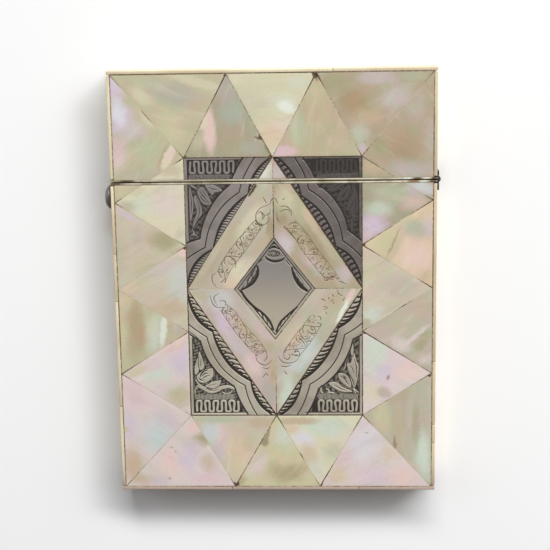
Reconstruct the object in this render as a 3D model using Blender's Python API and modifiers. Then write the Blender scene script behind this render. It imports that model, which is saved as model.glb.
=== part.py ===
"""Mother-of-pearl card case with an engraved metal panel and a hinged lid.

The case lies on its back. X runs across its width, Y along its length with the lid at +Y, and Z
through its thickness with the front face up. The origin is the middle of the back face. Sizes are
in metres.
"""

import math

import bmesh
import bpy
from mathutils import Matrix, Vector

# The whole case
CASE_WIDTH = 0.0787
CASE_LENGTH = 0.105
CASE_THICKNESS = 0.010

# Walls and the clearances between glued pieces
EDGE_THICKNESS = 0.0008
VENEER_THICKNESS = 0.0008
WALL = 0.0011
GLUE_GAP = 0.0003
TILE_JOINT = 0.0003

# The seam between lid and body
LID_LENGTH = 0.0267
SEAM_GAP = 0.0003
RIM_THICKNESS = 0.00045
COLLAR_WALL = 0.00035
COLLAR_CLEARANCE = 0.00025
COLLAR_RISE = 0.0016
COLLAR_ROOT = 0.003

# The panel in the middle of the front, inside a band of mosaic
SIDE_MOSAIC_WIDTH = 0.01797
END_MOSAIC_WIDTH = 0.02025
PANEL_OFFSET = -0.0006
CARTOUCHE_WIDTH = 0.0196
CARTOUCHE_LENGTH = 0.0254
POINTS_ACROSS = 2
POINTS_ALONG = 3

# The engraved metal: its ornament stands proud of a sunk field
RELIEF_HEIGHT = 0.0002
RELIEF_ROOT = 0.0001
FIELD_MARGIN = 0.0002
BORDER_WIDTH = 0.0004
GROOVE = 0.0003
SCALLOP_PITCH = 0.0159
SCALLOP_STEPS = 6
BAND_CUSP = 0.0006
BAND_RISE = 0.0019
BAND_WIDTH = 0.0018
BAND_GROOVE = 0.00025
OUTER_BAND_WIDTH = 0.0019
BAND_FLATTENING = 0.0003
ROPE_PITCH = 0.0010
ROPE_STRAND = 0.00062
ROPE_CLEARANCE = 0.0001
MEANDER_HEIGHT = 0.0029
MEANDER_PITCH = 0.00105
MEANDER_SLIT = 0.0004
MEANDER_BARS = 11
MEANDER_LINK = 0.0006
BEAD_STRIP_HEIGHT = 0.0013
BEAD_STRIP_LENGTH = 0.0102
BEAD_PITCH = 0.00085
BEAD_SLIT = 0.0003

# The sprig in each corner plate. A leaf is a spine of points measured back from the panel's
# corner, each with the leaf's width there.
SPRIG = [
    [(0.0016, 0.0073, 0.0003), (0.0018, 0.0088, 0.0005), (0.0019, 0.0103, 0.0005),
     (0.0022, 0.0117, 0.0011), (0.0024, 0.0129, 0.0018), (0.0027, 0.0139, 0.0013),
     (0.0031, 0.0152, 0)],
    [(0.0015, 0.0139, 0.0002), (0.0014, 0.0154, 0.00055), (0.0016, 0.0169, 0.0006),
     (0.0020, 0.0183, 0)],
    [(0.0022, 0.0072, 0.0004), (0.0034, 0.0069, 0.0007), (0.0048, 0.00665, 0.0008),
     (0.0064, 0.0069, 0.0008), (0.0079, 0.0072, 0.0006), (0.0094, 0.0071, 0.0005),
     (0.0102, 0.0066, 0.0005), (0.0098, 0.0059, 0.00045), (0.0088, 0.00585, 0.0003),
     (0.0083, 0.0063, 0)],
    [(0.0038, 0.0079, 0.0002), (0.0051, 0.0081, 0.0007), (0.0062, 0.00835, 0.0008),
     (0.0074, 0.0088, 0)],
]
BUD_PLACE = (0.0042, 0.0100)
BUD_LONG = 0.00165
BUD_SHORT = 0.0014
BUD_TURN = math.radians(35)
BUD_VEIN_SPACING = 0.00045
BUD_VEIN_LENGTH = 0.0018
BUD_VEIN_WIDTH = 0.00035
BUD_STEPS = 14
BUD_VEIN_STEPS = 6

# The cartouche: a polished field inside a rim, with carved bites along its edges. A bite runs
# between two shares of the way from the side tip to an end tip, with a depth.
CARTOUCHE_RIM = 0.00035
CARTOUCHE_FIELD_INSET = 0.0011
BITE_STEPS = 6
LOWER_BITE = (0.97, 0.40, 0.0011)
UPPER_BITE = (0.02, 0.50, 0.0017)
BITE_LEAF_SHARE = 0.5
BITE_LEAF_MARGIN = 0.1
CREST_SPREAD = 0.62
CREST_DEPTH = 0.0009
CREST_LONG = 0.0019
CREST_SHORT = 0.0009
CREST_STEPS = 14

# The hinge on the right narrow side
BARREL_RADIUS = 0.00075
BARREL_PROUD = 0.0009
BARREL_LENGTH = 0.0076
PIN_RADIUS = 0.00025
PIN_CLEARANCE = 0.0002
PIN_HEAD_RADIUS = 0.00055
PIN_HEAD_HEIGHT = 0.0003
PIN_HEAD_CHAMFER = 0.00016
KNUCKLE_GAP = 0.0003
LEAF_PROUD = 0.0005
LEAF_GAP = 0.0002
LEAF_TAB_GAP = 0.0002
TAB_INSET = 0.00015
LID_LEAF_LENGTH = 0.0010
BODY_LEAF_LENGTH = 0.0017
HINGE_CLEARANCE = 0.0003

# The button on the left narrow side
BUTTON_RADIUS = 0.0029
BUTTON_BELOW_SEAM = 0.0041
BUTTON_FOOT = 0.0006
BUTTON_RIM = 0.0004
BUTTON_DOME = 0.00115
BUTTON_UNDERCUT = 0.00015
STEM_RADIUS = 0.00095
STEM_CLEARANCE = 0.0003
STEM_DEPTH = 0.0015

# The back
BACK_GROOVE_DEPTH = 0.00035

ROUND_STEPS = 20
DOME_STEPS = 5
SMOOTH_ANGLE = math.radians(35)
WELD_DISTANCE = 1e-6
OVERCUT = 0.002

LEFT, RIGHT = -1, 1
BOTTOM, TOP = -1, 1
SIDES = {"left": LEFT, "right": RIGHT}
ENDS = {"bottom": BOTTOM, "top": TOP}

# What follows from the driving sizes
half_width = CASE_WIDTH / 2
half_length = CASE_LENGTH / 2
panel_half_width = half_width - SIDE_MOSAIC_WIDTH
panel_half_length = half_length - END_MOSAIC_WIDTH
seam = half_length - LID_LENGTH
body_rim_top = seam - SEAM_GAP / 2
lid_rim_bottom = seam + SEAM_GAP / 2
body_end = body_rim_top - RIM_THICKNESS - GLUE_GAP
lid_start = lid_rim_bottom + RIM_THICKNESS + GLUE_GAP
carcass_inset = EDGE_THICKNESS + GLUE_GAP
carcass_low = VENEER_THICKNESS + GLUE_GAP
pocket_half_width = half_width - carcass_inset - WALL
pocket_low = carcass_low + WALL
pocket_high = CASE_THICKNESS - pocket_low
pearl_half_width = half_width - carcass_inset
pearl_half_length = half_length - carcass_inset
front_low = CASE_THICKNESS - VENEER_THICKNESS
middle_height = CASE_THICKNESS / 2
hinge_x = half_width + BARREL_PROUD - BARREL_RADIUS
hinge_reach = BARREL_LENGTH / 2 + PIN_HEAD_HEIGHT + HINGE_CLEARANCE
notch_low = middle_height - hinge_reach
notch_high = middle_height + hinge_reach


def clear_scene():
    for obj in list(bpy.data.objects):
        bpy.data.objects.remove(obj)


def new_collection(name):
    collection = bpy.data.collections.new(name)
    bpy.context.scene.collection.children.link(collection)
    return collection


def make_material(name, color, roughness, metallic):
    material = bpy.data.materials.new(name)
    material.use_nodes = True
    shader = material.node_tree.nodes["Principled BSDF"]
    shader.inputs["Base Color"].default_value = (*color, 1)
    shader.inputs["Roughness"].default_value = roughness
    shader.inputs["Metallic"].default_value = metallic
    material.diffuse_color = (*color, 1)
    return material


clear_scene()
pieces = new_collection("card_case")
cutters = new_collection("cutters")

PEARL = make_material("mother_of_pearl", (0.60, 0.56, 0.47), 0.25, 0)
SILVER = make_material("engraved_metal", (0.42, 0.40, 0.36), 0.35, 1)
RIM_METAL = make_material("rim_metal", (0.62, 0.58, 0.48), 0.3, 1)
DARK_METAL = make_material("dark_metal", (0.12, 0.11, 0.10), 0.4, 1)
BONE = make_material("bone", (0.62, 0.55, 0.40), 0.45, 0)
WOOD = make_material("wood", (0.20, 0.10, 0.05), 0.6, 0)


# Flat outlines

def rectangle(left, low, right, high):
    return [Vector((left, low)), Vector((right, low)), Vector((right, high)), Vector((left, high))]


def signed_area(outline):
    following = outline[1:] + outline[:1]
    return sum(here.x * after.y - after.x * here.y for here, after in zip(outline, following)) / 2


def anticlockwise(outline):
    return list(outline) if signed_area(outline) > 0 else list(reversed(outline))


def inset(outline, distance):
    """A convex outline with every edge moved inward by the distance."""
    points = anticlockwise(outline)
    moved = []
    for before, here, after in zip(points[-1:] + points[:-1], points, points[1:] + points[:1]):
        edge_in = (here - before).normalized()
        edge_out = (after - here).normalized()
        normal_in = Vector((-edge_in.y, edge_in.x))
        normal_out = Vector((-edge_out.y, edge_out.x))
        moved.append(here + distance * (normal_in + normal_out) / (1 + normal_in.dot(normal_out)))
    return moved


def clip(outline, limit, side):
    """The part of a convex outline above (side TOP) or below (side BOTTOM) a level of Y."""
    kept = []
    for here, after in zip(outline, outline[1:] + outline[:1]):
        here_kept = side * (here.y - limit) >= 0
        after_kept = side * (after.y - limit) >= 0
        if here_kept:
            kept.append(here)
        if here_kept != after_kept:
            kept.append(here.lerp(after, (limit - here.y) / (after.y - here.y)))
    return kept


def centre_of(outline):
    return sum(outline, Vector((0, 0))) / len(outline)


# Solids from outlines

def outline_object(name, outlines, thickness, material, collection):
    curve = bpy.data.curves.new(name, "CURVE")
    curve.dimensions = "2D"
    curve.fill_mode = "BOTH"
    curve.extrude = thickness / 2
    for outline in outlines:
        spline = curve.splines.new("POLY")
        spline.points.add(len(outline) - 1)
        for point, place in zip(spline.points, outline):
            point.co = (place.x, place.y, 0, 1)
        spline.use_cyclic_u = True
    if material:
        curve.materials.append(material)
    obj = bpy.data.objects.new(name, curve)
    collection.objects.link(obj)
    return obj


def flat_piece(name, outline, low, high, material, collection=None):
    """A plate lying in XY, placed by the middle of its outline."""
    centre = centre_of(outline)
    outlines = [[point - centre for point in outline]]
    obj = outline_object(name, outlines, high - low, material, collection or pieces)
    obj.location = (centre.x, centre.y, (low + high) / 2)
    return obj


def outline_solid(name, outlines, low, high):
    """A cutter from several outlines, some of them holes in others."""
    obj = outline_object(name, outlines, high - low, None, cutters)
    obj.location = (0, 0, (low + high) / 2)
    return obj


def upright_piece(name, outlines, front, back, material):
    """A plate whose outlines lie in XZ, standing between two levels of Y."""
    obj = outline_object(name, outlines, back - front, material, pieces)
    obj.rotation_euler = (math.pi / 2, 0, 0)
    obj.location = (0, (front + back) / 2, 0)
    return obj


def side_piece(name, outlines, near, far, material):
    """A plate whose outlines lie in YZ, between two levels of X."""
    obj = outline_object(name, outlines, abs(far - near), material, pieces)
    obj.rotation_euler = (math.pi / 2, 0, math.pi / 2)
    obj.location = ((near + far) / 2, 0, 0)
    return obj


def as_mesh(source):
    """The object as a welded mesh, so that it can be cut or joined."""
    evaluated = source.evaluated_get(bpy.context.evaluated_depsgraph_get())
    mesh = bpy.data.meshes.new_from_object(evaluated)
    welded = bmesh.new()
    welded.from_mesh(mesh)
    bmesh.ops.remove_doubles(welded, verts=welded.verts, dist=WELD_DISTANCE)
    bmesh.ops.recalc_face_normals(welded, faces=welded.faces)
    welded.to_mesh(mesh)
    welded.free()
    name = source.name
    collection = source.users_collection[0]
    place = (source.location.copy(), source.rotation_euler.copy())
    bpy.data.objects.remove(source)
    obj = bpy.data.objects.new(name, mesh)
    obj.location, obj.rotation_euler = place
    collection.objects.link(obj)
    return obj


def block(name, low, high, material, collection):
    mesh = bpy.data.meshes.new(name)
    shape = bmesh.new()
    bmesh.ops.create_cube(shape, size=1)
    bmesh.ops.scale(shape, verts=shape.verts, vec=Vector(high) - Vector(low))
    shape.to_mesh(mesh)
    shape.free()
    if material:
        mesh.materials.append(material)
    obj = bpy.data.objects.new(name, mesh)
    obj.location = (Vector(low) + Vector(high)) / 2
    collection.objects.link(obj)
    return obj


def rods(name, radius, spans, material, collection):
    """Round rods along one axis, one for each span of local Z."""
    mesh = bpy.data.meshes.new(name)
    shape = bmesh.new()
    for low, high in spans:
        bmesh.ops.create_cone(
            shape, cap_ends=True, segments=ROUND_STEPS, radius1=radius, radius2=radius,
            depth=high - low, matrix=Matrix.Translation((0, 0, (low + high) / 2)))
    shape.to_mesh(mesh)
    shape.free()
    if material:
        mesh.materials.append(material)
    obj = bpy.data.objects.new(name, mesh)
    collection.objects.link(obj)
    return obj


def turned(name, profile, material):
    """A turned shape about local Z, from a profile that runs down its outer side."""
    mesh = bpy.data.meshes.new(name)
    points = [(radius, 0, height) for radius, height in profile]
    mesh.from_pydata(points, [(i, i + 1) for i in range(len(points) - 1)], [])
    mesh.materials.append(material)
    obj = bpy.data.objects.new(name, mesh)
    pieces.objects.link(obj)
    screw = obj.modifiers.new("turn", "SCREW")
    screw.steps = screw.render_steps = ROUND_STEPS
    screw.use_merge_vertices = True
    screw.merge_threshold = WELD_DISTANCE
    screw.use_smooth_shade = True
    return obj


def hide_cutter(obj):
    obj.hide_render = True
    obj.display_type = "WIRE"
    return obj


def combine(obj, operation, other):
    boolean = obj.modifiers.new(other.name, "BOOLEAN")
    boolean.operation = operation
    boolean.object = hide_cutter(other)


def smooth_round(obj):
    obj.data.shade_smooth()
    obj.data.set_sharp_from_angle(angle=SMOOTH_ANGLE)


# The mosaic's layout

def side_triangles(outer_a, outer_b, inner_a, inner_b, parts):
    """A band of triangles between a side of the face and a side of the panel.

    The panel's side has its points at equal steps. The outer points lie opposite the middle of
    each step, between the two corners.
    """
    inner = [inner_a.lerp(inner_b, i / parts) for i in range(parts + 1)]
    along = (outer_b - outer_a).normalized()
    middles = [(inner[i] + inner[i + 1]) / 2 for i in range(parts)]
    outer = [outer_a + along * (middle - outer_a).dot(along) for middle in middles]
    outer = [outer_a] + outer + [outer_b]
    triangles = []
    for i in range(parts + 1):
        triangles.append([outer[i], outer[i + 1], inner[i]])
        if i < parts:
            triangles.append([inner[i], inner[i + 1], outer[i + 1]])
    return triangles


def panel_point(across, along):
    """A place on the panel, in shares of its half width and half length."""
    return Vector((across * panel_half_width, along * panel_half_length + PANEL_OFFSET))


def cartouche_point(across, along):
    return Vector((across * CARTOUCHE_WIDTH / 2, along * CARTOUCHE_LENGTH / 2 + PANEL_OFFSET))


def mosaic_tiles():
    """The triangles round the panel, by name, as outlines that still share their edges."""
    reach = TILE_JOINT / 2
    width = pearl_half_width + reach
    length = pearl_half_length + reach
    corner = {(x, y): Vector((x * width, y * length)) for x in (LEFT, RIGHT) for y in (BOTTOM, TOP)}
    bands = {}
    for end_name, end in ENDS.items():
        bands[end_name] = side_triangles(
            corner[LEFT, end], corner[RIGHT, end],
            panel_point(LEFT, end), panel_point(RIGHT, end), POINTS_ACROSS)
    for side_name, side in SIDES.items():
        bands[side_name] = side_triangles(
            corner[side, TOP], corner[side, BOTTOM],
            panel_point(side, TOP), panel_point(side, BOTTOM), POINTS_ALONG)
    return {
        f"tile_{band}_{number}": triangle
        for band, triangles in bands.items()
        for number, triangle in enumerate(triangles, 1)}


def diamond_strips():
    strips = {}
    for end_name, end in ENDS.items():
        for side_name, side in SIDES.items():
            strips[f"diamond_strip_{end_name}_{side_name}"] = [
                panel_point(side, 0), panel_point(0, end), cartouche_point(0, end),
                cartouche_point(side, 0)]
    return strips


def corner_plates():
    return {
        (end_name, side_name): [panel_point(side, 0), panel_point(side, end), panel_point(0, end)]
        for end_name, end in ENDS.items() for side_name, side in SIDES.items()}


def cartouche_outline():
    return [cartouche_point(0, TOP), cartouche_point(LEFT, 0), cartouche_point(0, BOTTOM),
            cartouche_point(RIGHT, 0)]


def shares_of(name, outline):
    """The outline with its joint taken off, cut at the seam: (name, outline) for each share."""
    fitted = inset(outline, TILE_JOINT / 2)
    highest = max(point.y for point in fitted)
    lowest = min(point.y for point in fitted)
    shares = []
    if lowest < body_end:
        shares.append((name, clip(fitted, body_end, BOTTOM)))
    if highest > lid_start:
        suffix = "_lid" if lowest < body_end else ""
        shares.append((name + suffix, clip(fitted, lid_start, TOP)))
    return shares


# The engraved ornament

def scallop(start, end, cusp, rise, shift=0):
    """One arched edge: (distance along the diamond's edge, depth towards the plate's corner)."""
    points = []
    for step in range(SCALLOP_STEPS + 1):
        share = 2 * step / SCALLOP_STEPS - 1
        along = (start + end) / 2 + share * ((end - start) / 2 - shift)
        points.append((along, cusp + rise * (1 - share * share)))
    return points


def scalloped_edge(length, cusp, rise):
    """Three arches, of which the plate's own sides cut the outer two."""
    edge = []
    for number in (-1, 0, 1):
        middle = length / 2 + number * SCALLOP_PITCH
        arch = scallop(middle - SCALLOP_PITCH / 2, middle + SCALLOP_PITCH / 2, cusp, rise)
        edge += arch if not edge else arch[1:]
    return edge


def band_outline(length, near, far):
    """The strip between two scalloped edges, each given as (cusp, rise)."""
    return scalloped_edge(length, *near) + list(reversed(scalloped_edge(length, *far)))


def ribbon_outline(spine, widths):
    """A leaf or stem about a spine of points, with its width at each point and a pointed tip."""
    left, right = [], []
    last = len(spine) - 1
    for number, (place, width) in enumerate(zip(spine, widths)):
        run = (spine[min(number + 1, last)] - spine[max(number - 1, 0)]).normalized()
        across = Vector((-run.y, run.x)) * width / 2
        left.append(place + across)
        right.append(place - across)
    return left[:-1] + [spine[-1]] + right[-2::-1]


def oval_outline(centre, radius_long, radius_short, turn, steps):
    points = []
    for step in range(steps):
        angle = 2 * math.pi * step / steps
        place = Vector((radius_long * math.cos(angle), radius_short * math.sin(angle)))
        place.rotate(Matrix.Rotation(turn, 2))
        points.append(centre + place)
    return points


def comb_outline(start, low, high, pitch, slit, bars, link):
    """A row of bars joined by turns at the top and at the bottom."""
    lower, upper = [Vector((start, low))], [Vector((start, high))]
    for number in range(1, bars):
        middle = start + number * pitch - slit / 2
        left, right = middle - slit / 2, middle + slit / 2
        if number % 2:
            lower += [Vector((left, low)), Vector((left, high - link)),
                      Vector((right, high - link)), Vector((right, low))]
        else:
            upper += [Vector((left, high)), Vector((left, low + link)),
                      Vector((right, low + link)), Vector((right, high))]
    end = start + bars * pitch - slit
    lower.append(Vector((end, low)))
    upper.append(Vector((end, high)))
    return lower + list(reversed(upper))


def corner_ornament():
    """The ornament of one corner plate, drawn for the top right one about the panel's middle.

    Each layer is (outlines, outlines that bound them).
    """
    corner = Vector((panel_half_width, panel_half_length))
    side_tip = Vector((panel_half_width, 0))
    end_tip = Vector((0, panel_half_length))
    along = (end_tip - side_tip).normalized()
    depth = Vector((-along.y, along.x))
    if depth.dot(corner - side_tip) < 0:
        depth = -depth
    edge_length = (end_tip - side_tip).length

    def place(points):
        return [side_tip + along * run + depth * reach for run, reach in points]

    inner_near = (BAND_CUSP, BAND_RISE)
    inner_far = (BAND_CUSP + BAND_WIDTH, BAND_RISE - BAND_FLATTENING)
    outer_near = (inner_far[0] + BAND_GROOVE, inner_far[1])
    outer_far = (outer_near[0] + OUTER_BAND_WIDTH, outer_near[1] - 2 * BAND_FLATTENING)
    bands = [place(band_outline(edge_length, inner_near, inner_far)),
             place(band_outline(edge_length, outer_near, outer_far))]

    # The rope lies between the diamond's edge and the first band
    strands = []
    for number in range(int(panel_half_length / ROPE_PITCH) + 1):
        low = number * ROPE_PITCH
        strands.append(rectangle(-OVERCUT, low, corner.x + OVERCUT, low + ROPE_STRAND))
    lenses = []
    for number in (-1, 0, 1):
        middle = edge_length / 2 + number * SCALLOP_PITCH
        lens = scallop(middle - SCALLOP_PITCH / 2, middle + SCALLOP_PITCH / 2,
                       FIELD_MARGIN, BAND_RISE - ROPE_CLEARANCE, shift=GROOVE)
        lenses.append(place(lens))

    # Borders, meander, beaded strip and leaves lie in the corner behind the bands
    far_edge = place(scalloped_edge(edge_length, outer_far[0] + GROOVE, outer_far[1]))
    beyond = 2 * corner
    corner_field = far_edge + [Vector((-OVERCUT, beyond.y)), beyond, Vector((beyond.x, -OVERCUT))]
    rim = corner - Vector((FIELD_MARGIN, FIELD_MARGIN))
    meander_high = rim.y - BORDER_WIDTH - GROOVE
    meander_start = rim.x - BORDER_WIDTH - GROOVE - MEANDER_BARS * MEANDER_PITCH + MEANDER_SLIT
    strip_high = meander_high - MEANDER_HEIGHT - GROOVE
    strip_bars = int(BEAD_STRIP_LENGTH / BEAD_PITCH)
    strip_start = rim.x - BORDER_WIDTH - GROOVE - strip_bars * BEAD_PITCH + BEAD_SLIT
    border = [Vector((-OVERCUT, rim.y)), Vector((-OVERCUT, rim.y - BORDER_WIDTH)),
              rim - Vector((BORDER_WIDTH, BORDER_WIDTH)), Vector((rim.x - BORDER_WIDTH, -OVERCUT)),
              Vector((rim.x, -OVERCUT)), rim]
    corner_pieces = [
        border,
        comb_outline(meander_start, meander_high - MEANDER_HEIGHT, meander_high,
                     MEANDER_PITCH, MEANDER_SLIT, MEANDER_BARS, MEANDER_LINK),
        comb_outline(strip_start, strip_high - BEAD_STRIP_HEIGHT, strip_high,
                     BEAD_PITCH, BEAD_SLIT, strip_bars, BEAD_SLIT)]
    for leaf in SPRIG:
        spine = [corner - Vector(point[:2]) for point in leaf]
        corner_pieces.append(ribbon_outline(spine, [point[2] for point in leaf]))
    bud = corner - Vector(BUD_PLACE)
    corner_pieces.append(oval_outline(bud, BUD_LONG, BUD_SHORT, BUD_TURN, BUD_STEPS))
    for shift in (-BUD_VEIN_SPACING, BUD_VEIN_SPACING):
        offset = Vector((0, shift))
        offset.rotate(Matrix.Rotation(BUD_TURN, 2))
        corner_pieces.append(oval_outline(
            bud + offset, BUD_VEIN_LENGTH / 2, BUD_VEIN_WIDTH / 2, BUD_TURN, BUD_VEIN_STEPS))
    return [(bands, None), (strands, lenses), (corner_pieces, [corner_field])]


def arc_between(start, end, sagitta, steps):
    """Points of an arch from start to end that bulges to the left of its chord."""
    chord = end - start
    left = Vector((-chord.y, chord.x)).normalized()
    points = []
    for step in range(steps + 1):
        share = step / steps
        points.append(start.lerp(end, share) + left * sagitta * 4 * share * (1 - share))
    return points


def mirrored(points):
    """The points on the other side of the long middle line, in the opposite order."""
    return [Vector((-point.x, point.y)) for point in reversed(points)]


def cartouche_ornament():
    """The cartouche's raised outlines: rim, field, crest and the leaves of its bites."""
    outline = anticlockwise(cartouche_outline())
    rim_outer = inset(outline, TILE_JOINT / 2 + FIELD_MARGIN)
    rim_inner = inset(rim_outer, CARTOUCHE_RIM)
    top, left, bottom, right = inset(outline, CARTOUCHE_FIELD_INSET)

    # The right side of the field, upwards from the bottom tip
    bites, leaves = [], []
    for tip, (first, last, depth) in ((bottom, LOWER_BITE), (top, UPPER_BITE)):
        near, far = right.lerp(tip, first), right.lerp(tip, last)
        bites.append(arc_between(near, far, depth, BITE_STEPS))
        leaves.append(arc_between(
            near.lerp(far, BITE_LEAF_MARGIN), far.lerp(near, BITE_LEAF_MARGIN),
            depth * BITE_LEAF_SHARE, BITE_STEPS))
    side = bites[0] + [right] + bites[1]

    crest_right, crest_left = right.lerp(top, CREST_SPREAD), left.lerp(top, CREST_SPREAD)
    crest_arc = arc_between(crest_right, crest_left, CREST_DEPTH, BITE_STEPS)
    field = [bottom] + side + crest_arc + mirrored(side)
    crest_middle = (crest_left + crest_right) / 2 + Vector((0, CREST_SHORT + GROOVE))
    crest = oval_outline(crest_middle, CREST_LONG, CREST_SHORT, 0, CREST_STEPS)
    return [rim_outer, rim_inner, field, crest] + leaves + [mirrored(leaf) for leaf in leaves]


def relief_plate(name, outline, layers, field):
    """A plate with its ornament standing proud, bounded by its field."""
    ground = CASE_THICKNESS - RELIEF_HEIGHT
    plate = as_mesh(flat_piece(name, outline, front_low, ground, SILVER))
    bound_low, bound_high = front_low - OVERCUT, CASE_THICKNESS + OVERCUT
    limit = hide_cutter(as_mesh(
        flat_piece(name + "_field", field, bound_low, bound_high, None, cutters)))
    for number, (outlines, bounds) in enumerate(layers):
        raised = as_mesh(outline_solid(
            f"{name}_relief_{number}", outlines, ground - RELIEF_ROOT, CASE_THICKNESS))
        if bounds:
            combine(raised, "INTERSECT", as_mesh(outline_solid(
                f"{name}_bound_{number}", bounds, bound_low, bound_high)))
        combine(raised, "INTERSECT", limit)
        combine(plate, "UNION", raised)
    return plate


# The pieces

def make_carcasses():
    """The two thin-walled wooden boxes, each open at the seam."""
    carcass_high = CASE_THICKNESS - carcass_low
    body = block("case_body", (-pearl_half_width, -pearl_half_length, carcass_low),
                 (pearl_half_width, body_end, carcass_high), WOOD, pieces)
    lid = block("case_lid", (-pearl_half_width, lid_start, carcass_low),
                (pearl_half_width, pearl_half_length, carcass_high), WOOD, pieces)
    end_wall = pearl_half_length - WALL
    combine(body, "DIFFERENCE", block(
        "body_pocket", (-pocket_half_width, -end_wall, pocket_low),
        (pocket_half_width, body_end + OVERCUT, pocket_high), None, cutters))
    combine(lid, "DIFFERENCE", block(
        "lid_pocket", (-pocket_half_width, lid_start - OVERCUT, pocket_low),
        (pocket_half_width, end_wall, pocket_high), None, cutters))
    combine(body, "DIFFERENCE", stem_hole("body_stem_hole"))
    return [body], [lid]


def make_rims():
    """Thin metal frames at the two mouths, notched for the hinge, and the collar between."""
    notch_x = half_width - EDGE_THICKNESS - HINGE_CLEARANCE
    outside = [
        Vector((-half_width, 0)), Vector((half_width, 0)), Vector((half_width, notch_low)),
        Vector((notch_x, notch_low)), Vector((notch_x, notch_high)),
        Vector((half_width, notch_high)), Vector((half_width, CASE_THICKNESS)),
        Vector((-half_width, CASE_THICKNESS))]
    inside = rectangle(-pocket_half_width, pocket_low, pocket_half_width, pocket_high)
    body_rim = upright_piece(
        "body_rim", [outside, inside], body_rim_top - RIM_THICKNESS, body_rim_top, RIM_METAL)
    lid_rim = upright_piece(
        "lid_rim", [outside, inside], lid_rim_bottom, lid_rim_bottom + RIM_THICKNESS, RIM_METAL)
    sleeve = inset(inside, COLLAR_CLEARANCE)
    collar = upright_piece(
        "closing_collar", [sleeve, inset(sleeve, COLLAR_WALL)],
        body_end - COLLAR_ROOT, body_rim_top + COLLAR_RISE, RIM_METAL)
    return [body_rim, collar], [lid_rim]


def hinge_notch(mouth, far, side):
    """The outline in YZ of a side strip that is notched at the mouth for the hinge's leaf."""
    leaf_length = LID_LEAF_LENGTH if side == TOP else BODY_LEAF_LENGTH
    notch_end = seam + side * (BARREL_RADIUS + LEAF_GAP + leaf_length + HINGE_CLEARANCE)
    return [Vector((mouth, 0)), Vector((mouth, notch_low)), Vector((notch_end, notch_low)),
            Vector((notch_end, notch_high)), Vector((mouth, notch_high)),
            Vector((mouth, CASE_THICKNESS)), Vector((far, CASE_THICKNESS)), Vector((far, 0))]


def make_edges():
    """Bone strips on the narrow sides, the full thickness of the case."""
    inner = half_width - EDGE_THICKNESS
    end = half_length - EDGE_THICKNESS
    strip_end = end - GLUE_GAP
    bottom = block("edge_body_bottom", (-half_width, -half_length, 0),
                   (half_width, -end, CASE_THICKNESS), BONE, pieces)
    top = block("edge_lid_top", (-half_width, end, 0),
                (half_width, half_length, CASE_THICKNESS), BONE, pieces)
    body_left = block("edge_body_left", (-half_width, -strip_end, 0),
                      (-inner, body_end, CASE_THICKNESS), BONE, pieces)
    lid_left = block("edge_lid_left", (-half_width, lid_start, 0),
                     (-inner, strip_end, CASE_THICKNESS), BONE, pieces)
    body_right = side_piece("edge_body_right", [hinge_notch(body_end, -strip_end, BOTTOM)],
                            inner, half_width, BONE)
    lid_right = side_piece("edge_lid_right", [hinge_notch(lid_start, strip_end, TOP)],
                           inner, half_width, BONE)
    combine(body_left, "DIFFERENCE", stem_hole("edge_stem_hole"))
    return [bottom, body_left, body_right], [top, lid_left, lid_right]


def is_lid_share(outline):
    return centre_of(outline).y > seam


def make_front():
    """Tiles, diamond strips, engraved corner plates and cartouche of the front face."""
    body, lid = [], []
    for name, outline in {**mosaic_tiles(), **diamond_strips()}.items():
        for share_name, share in shares_of(name, outline):
            tile = flat_piece(share_name, share, front_low, CASE_THICKNESS, PEARL)
            (lid if is_lid_share(share) else body).append(tile)

    ornament = corner_ornament()
    for (end_name, side_name), outline in corner_plates().items():
        side, end = SIDES[side_name], ENDS[end_name]

        def mirror(points):
            return [Vector((side * point.x, end * point.y + PANEL_OFFSET)) for point in points]

        layers = [([mirror(points) for points in outlines],
                   [mirror(points) for points in bounds] if bounds else None)
                  for outlines, bounds in ornament]
        for share_name, share in shares_of(f"metal_corner_{end_name}_{side_name}", outline):
            plate = relief_plate(share_name, share, layers, inset(share, FIELD_MARGIN))
            (lid if is_lid_share(share) else body).append(plate)

    cartouche = inset(cartouche_outline(), TILE_JOINT / 2)
    body.append(relief_plate("cartouche", cartouche, [(cartouche_ornament(), None)], cartouche))
    return body, lid


def make_back():
    """The plainer back: two plates of mother-of-pearl, grooved where their tiles meet."""
    outlines = list(mosaic_tiles().values()) + list(diamond_strips().values())
    outlines += list(corner_plates().values()) + [cartouche_outline()]
    face = rectangle(-pearl_half_width, -pearl_half_length, pearl_half_width, pearl_half_length)
    plates = {}
    for name, limit, side in (("back_veneer_body", body_end, BOTTOM),
                              ("back_veneer_lid", lid_start, TOP)):
        plate = as_mesh(flat_piece(
            name, clip(face, limit, side), BACK_GROOVE_DEPTH, VENEER_THICKNESS, PEARL))
        tiles = []
        for outline in outlines:
            share = clip(inset(outline, TILE_JOINT / 2), limit, side)
            if len(share) > 2:
                tiles.append(share)
        root = (BACK_GROOVE_DEPTH + VENEER_THICKNESS) / 2
        combine(plate, "UNION", as_mesh(outline_solid(name + "_tiles", tiles, 0, root)))
        plates[side] = plate
    return [plates[BOTTOM]], [plates[TOP]]


def knuckle_spans():
    """The hinge's three knuckles along Z: the body's, the lid's and the body's again."""
    length = (BARREL_LENGTH - 2 * KNUCKLE_GAP) / 3
    start = middle_height - BARREL_LENGTH / 2
    return [(start + i * (length + KNUCKLE_GAP), start + i * (length + KNUCKLE_GAP) + length)
            for i in range(3)]


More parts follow.
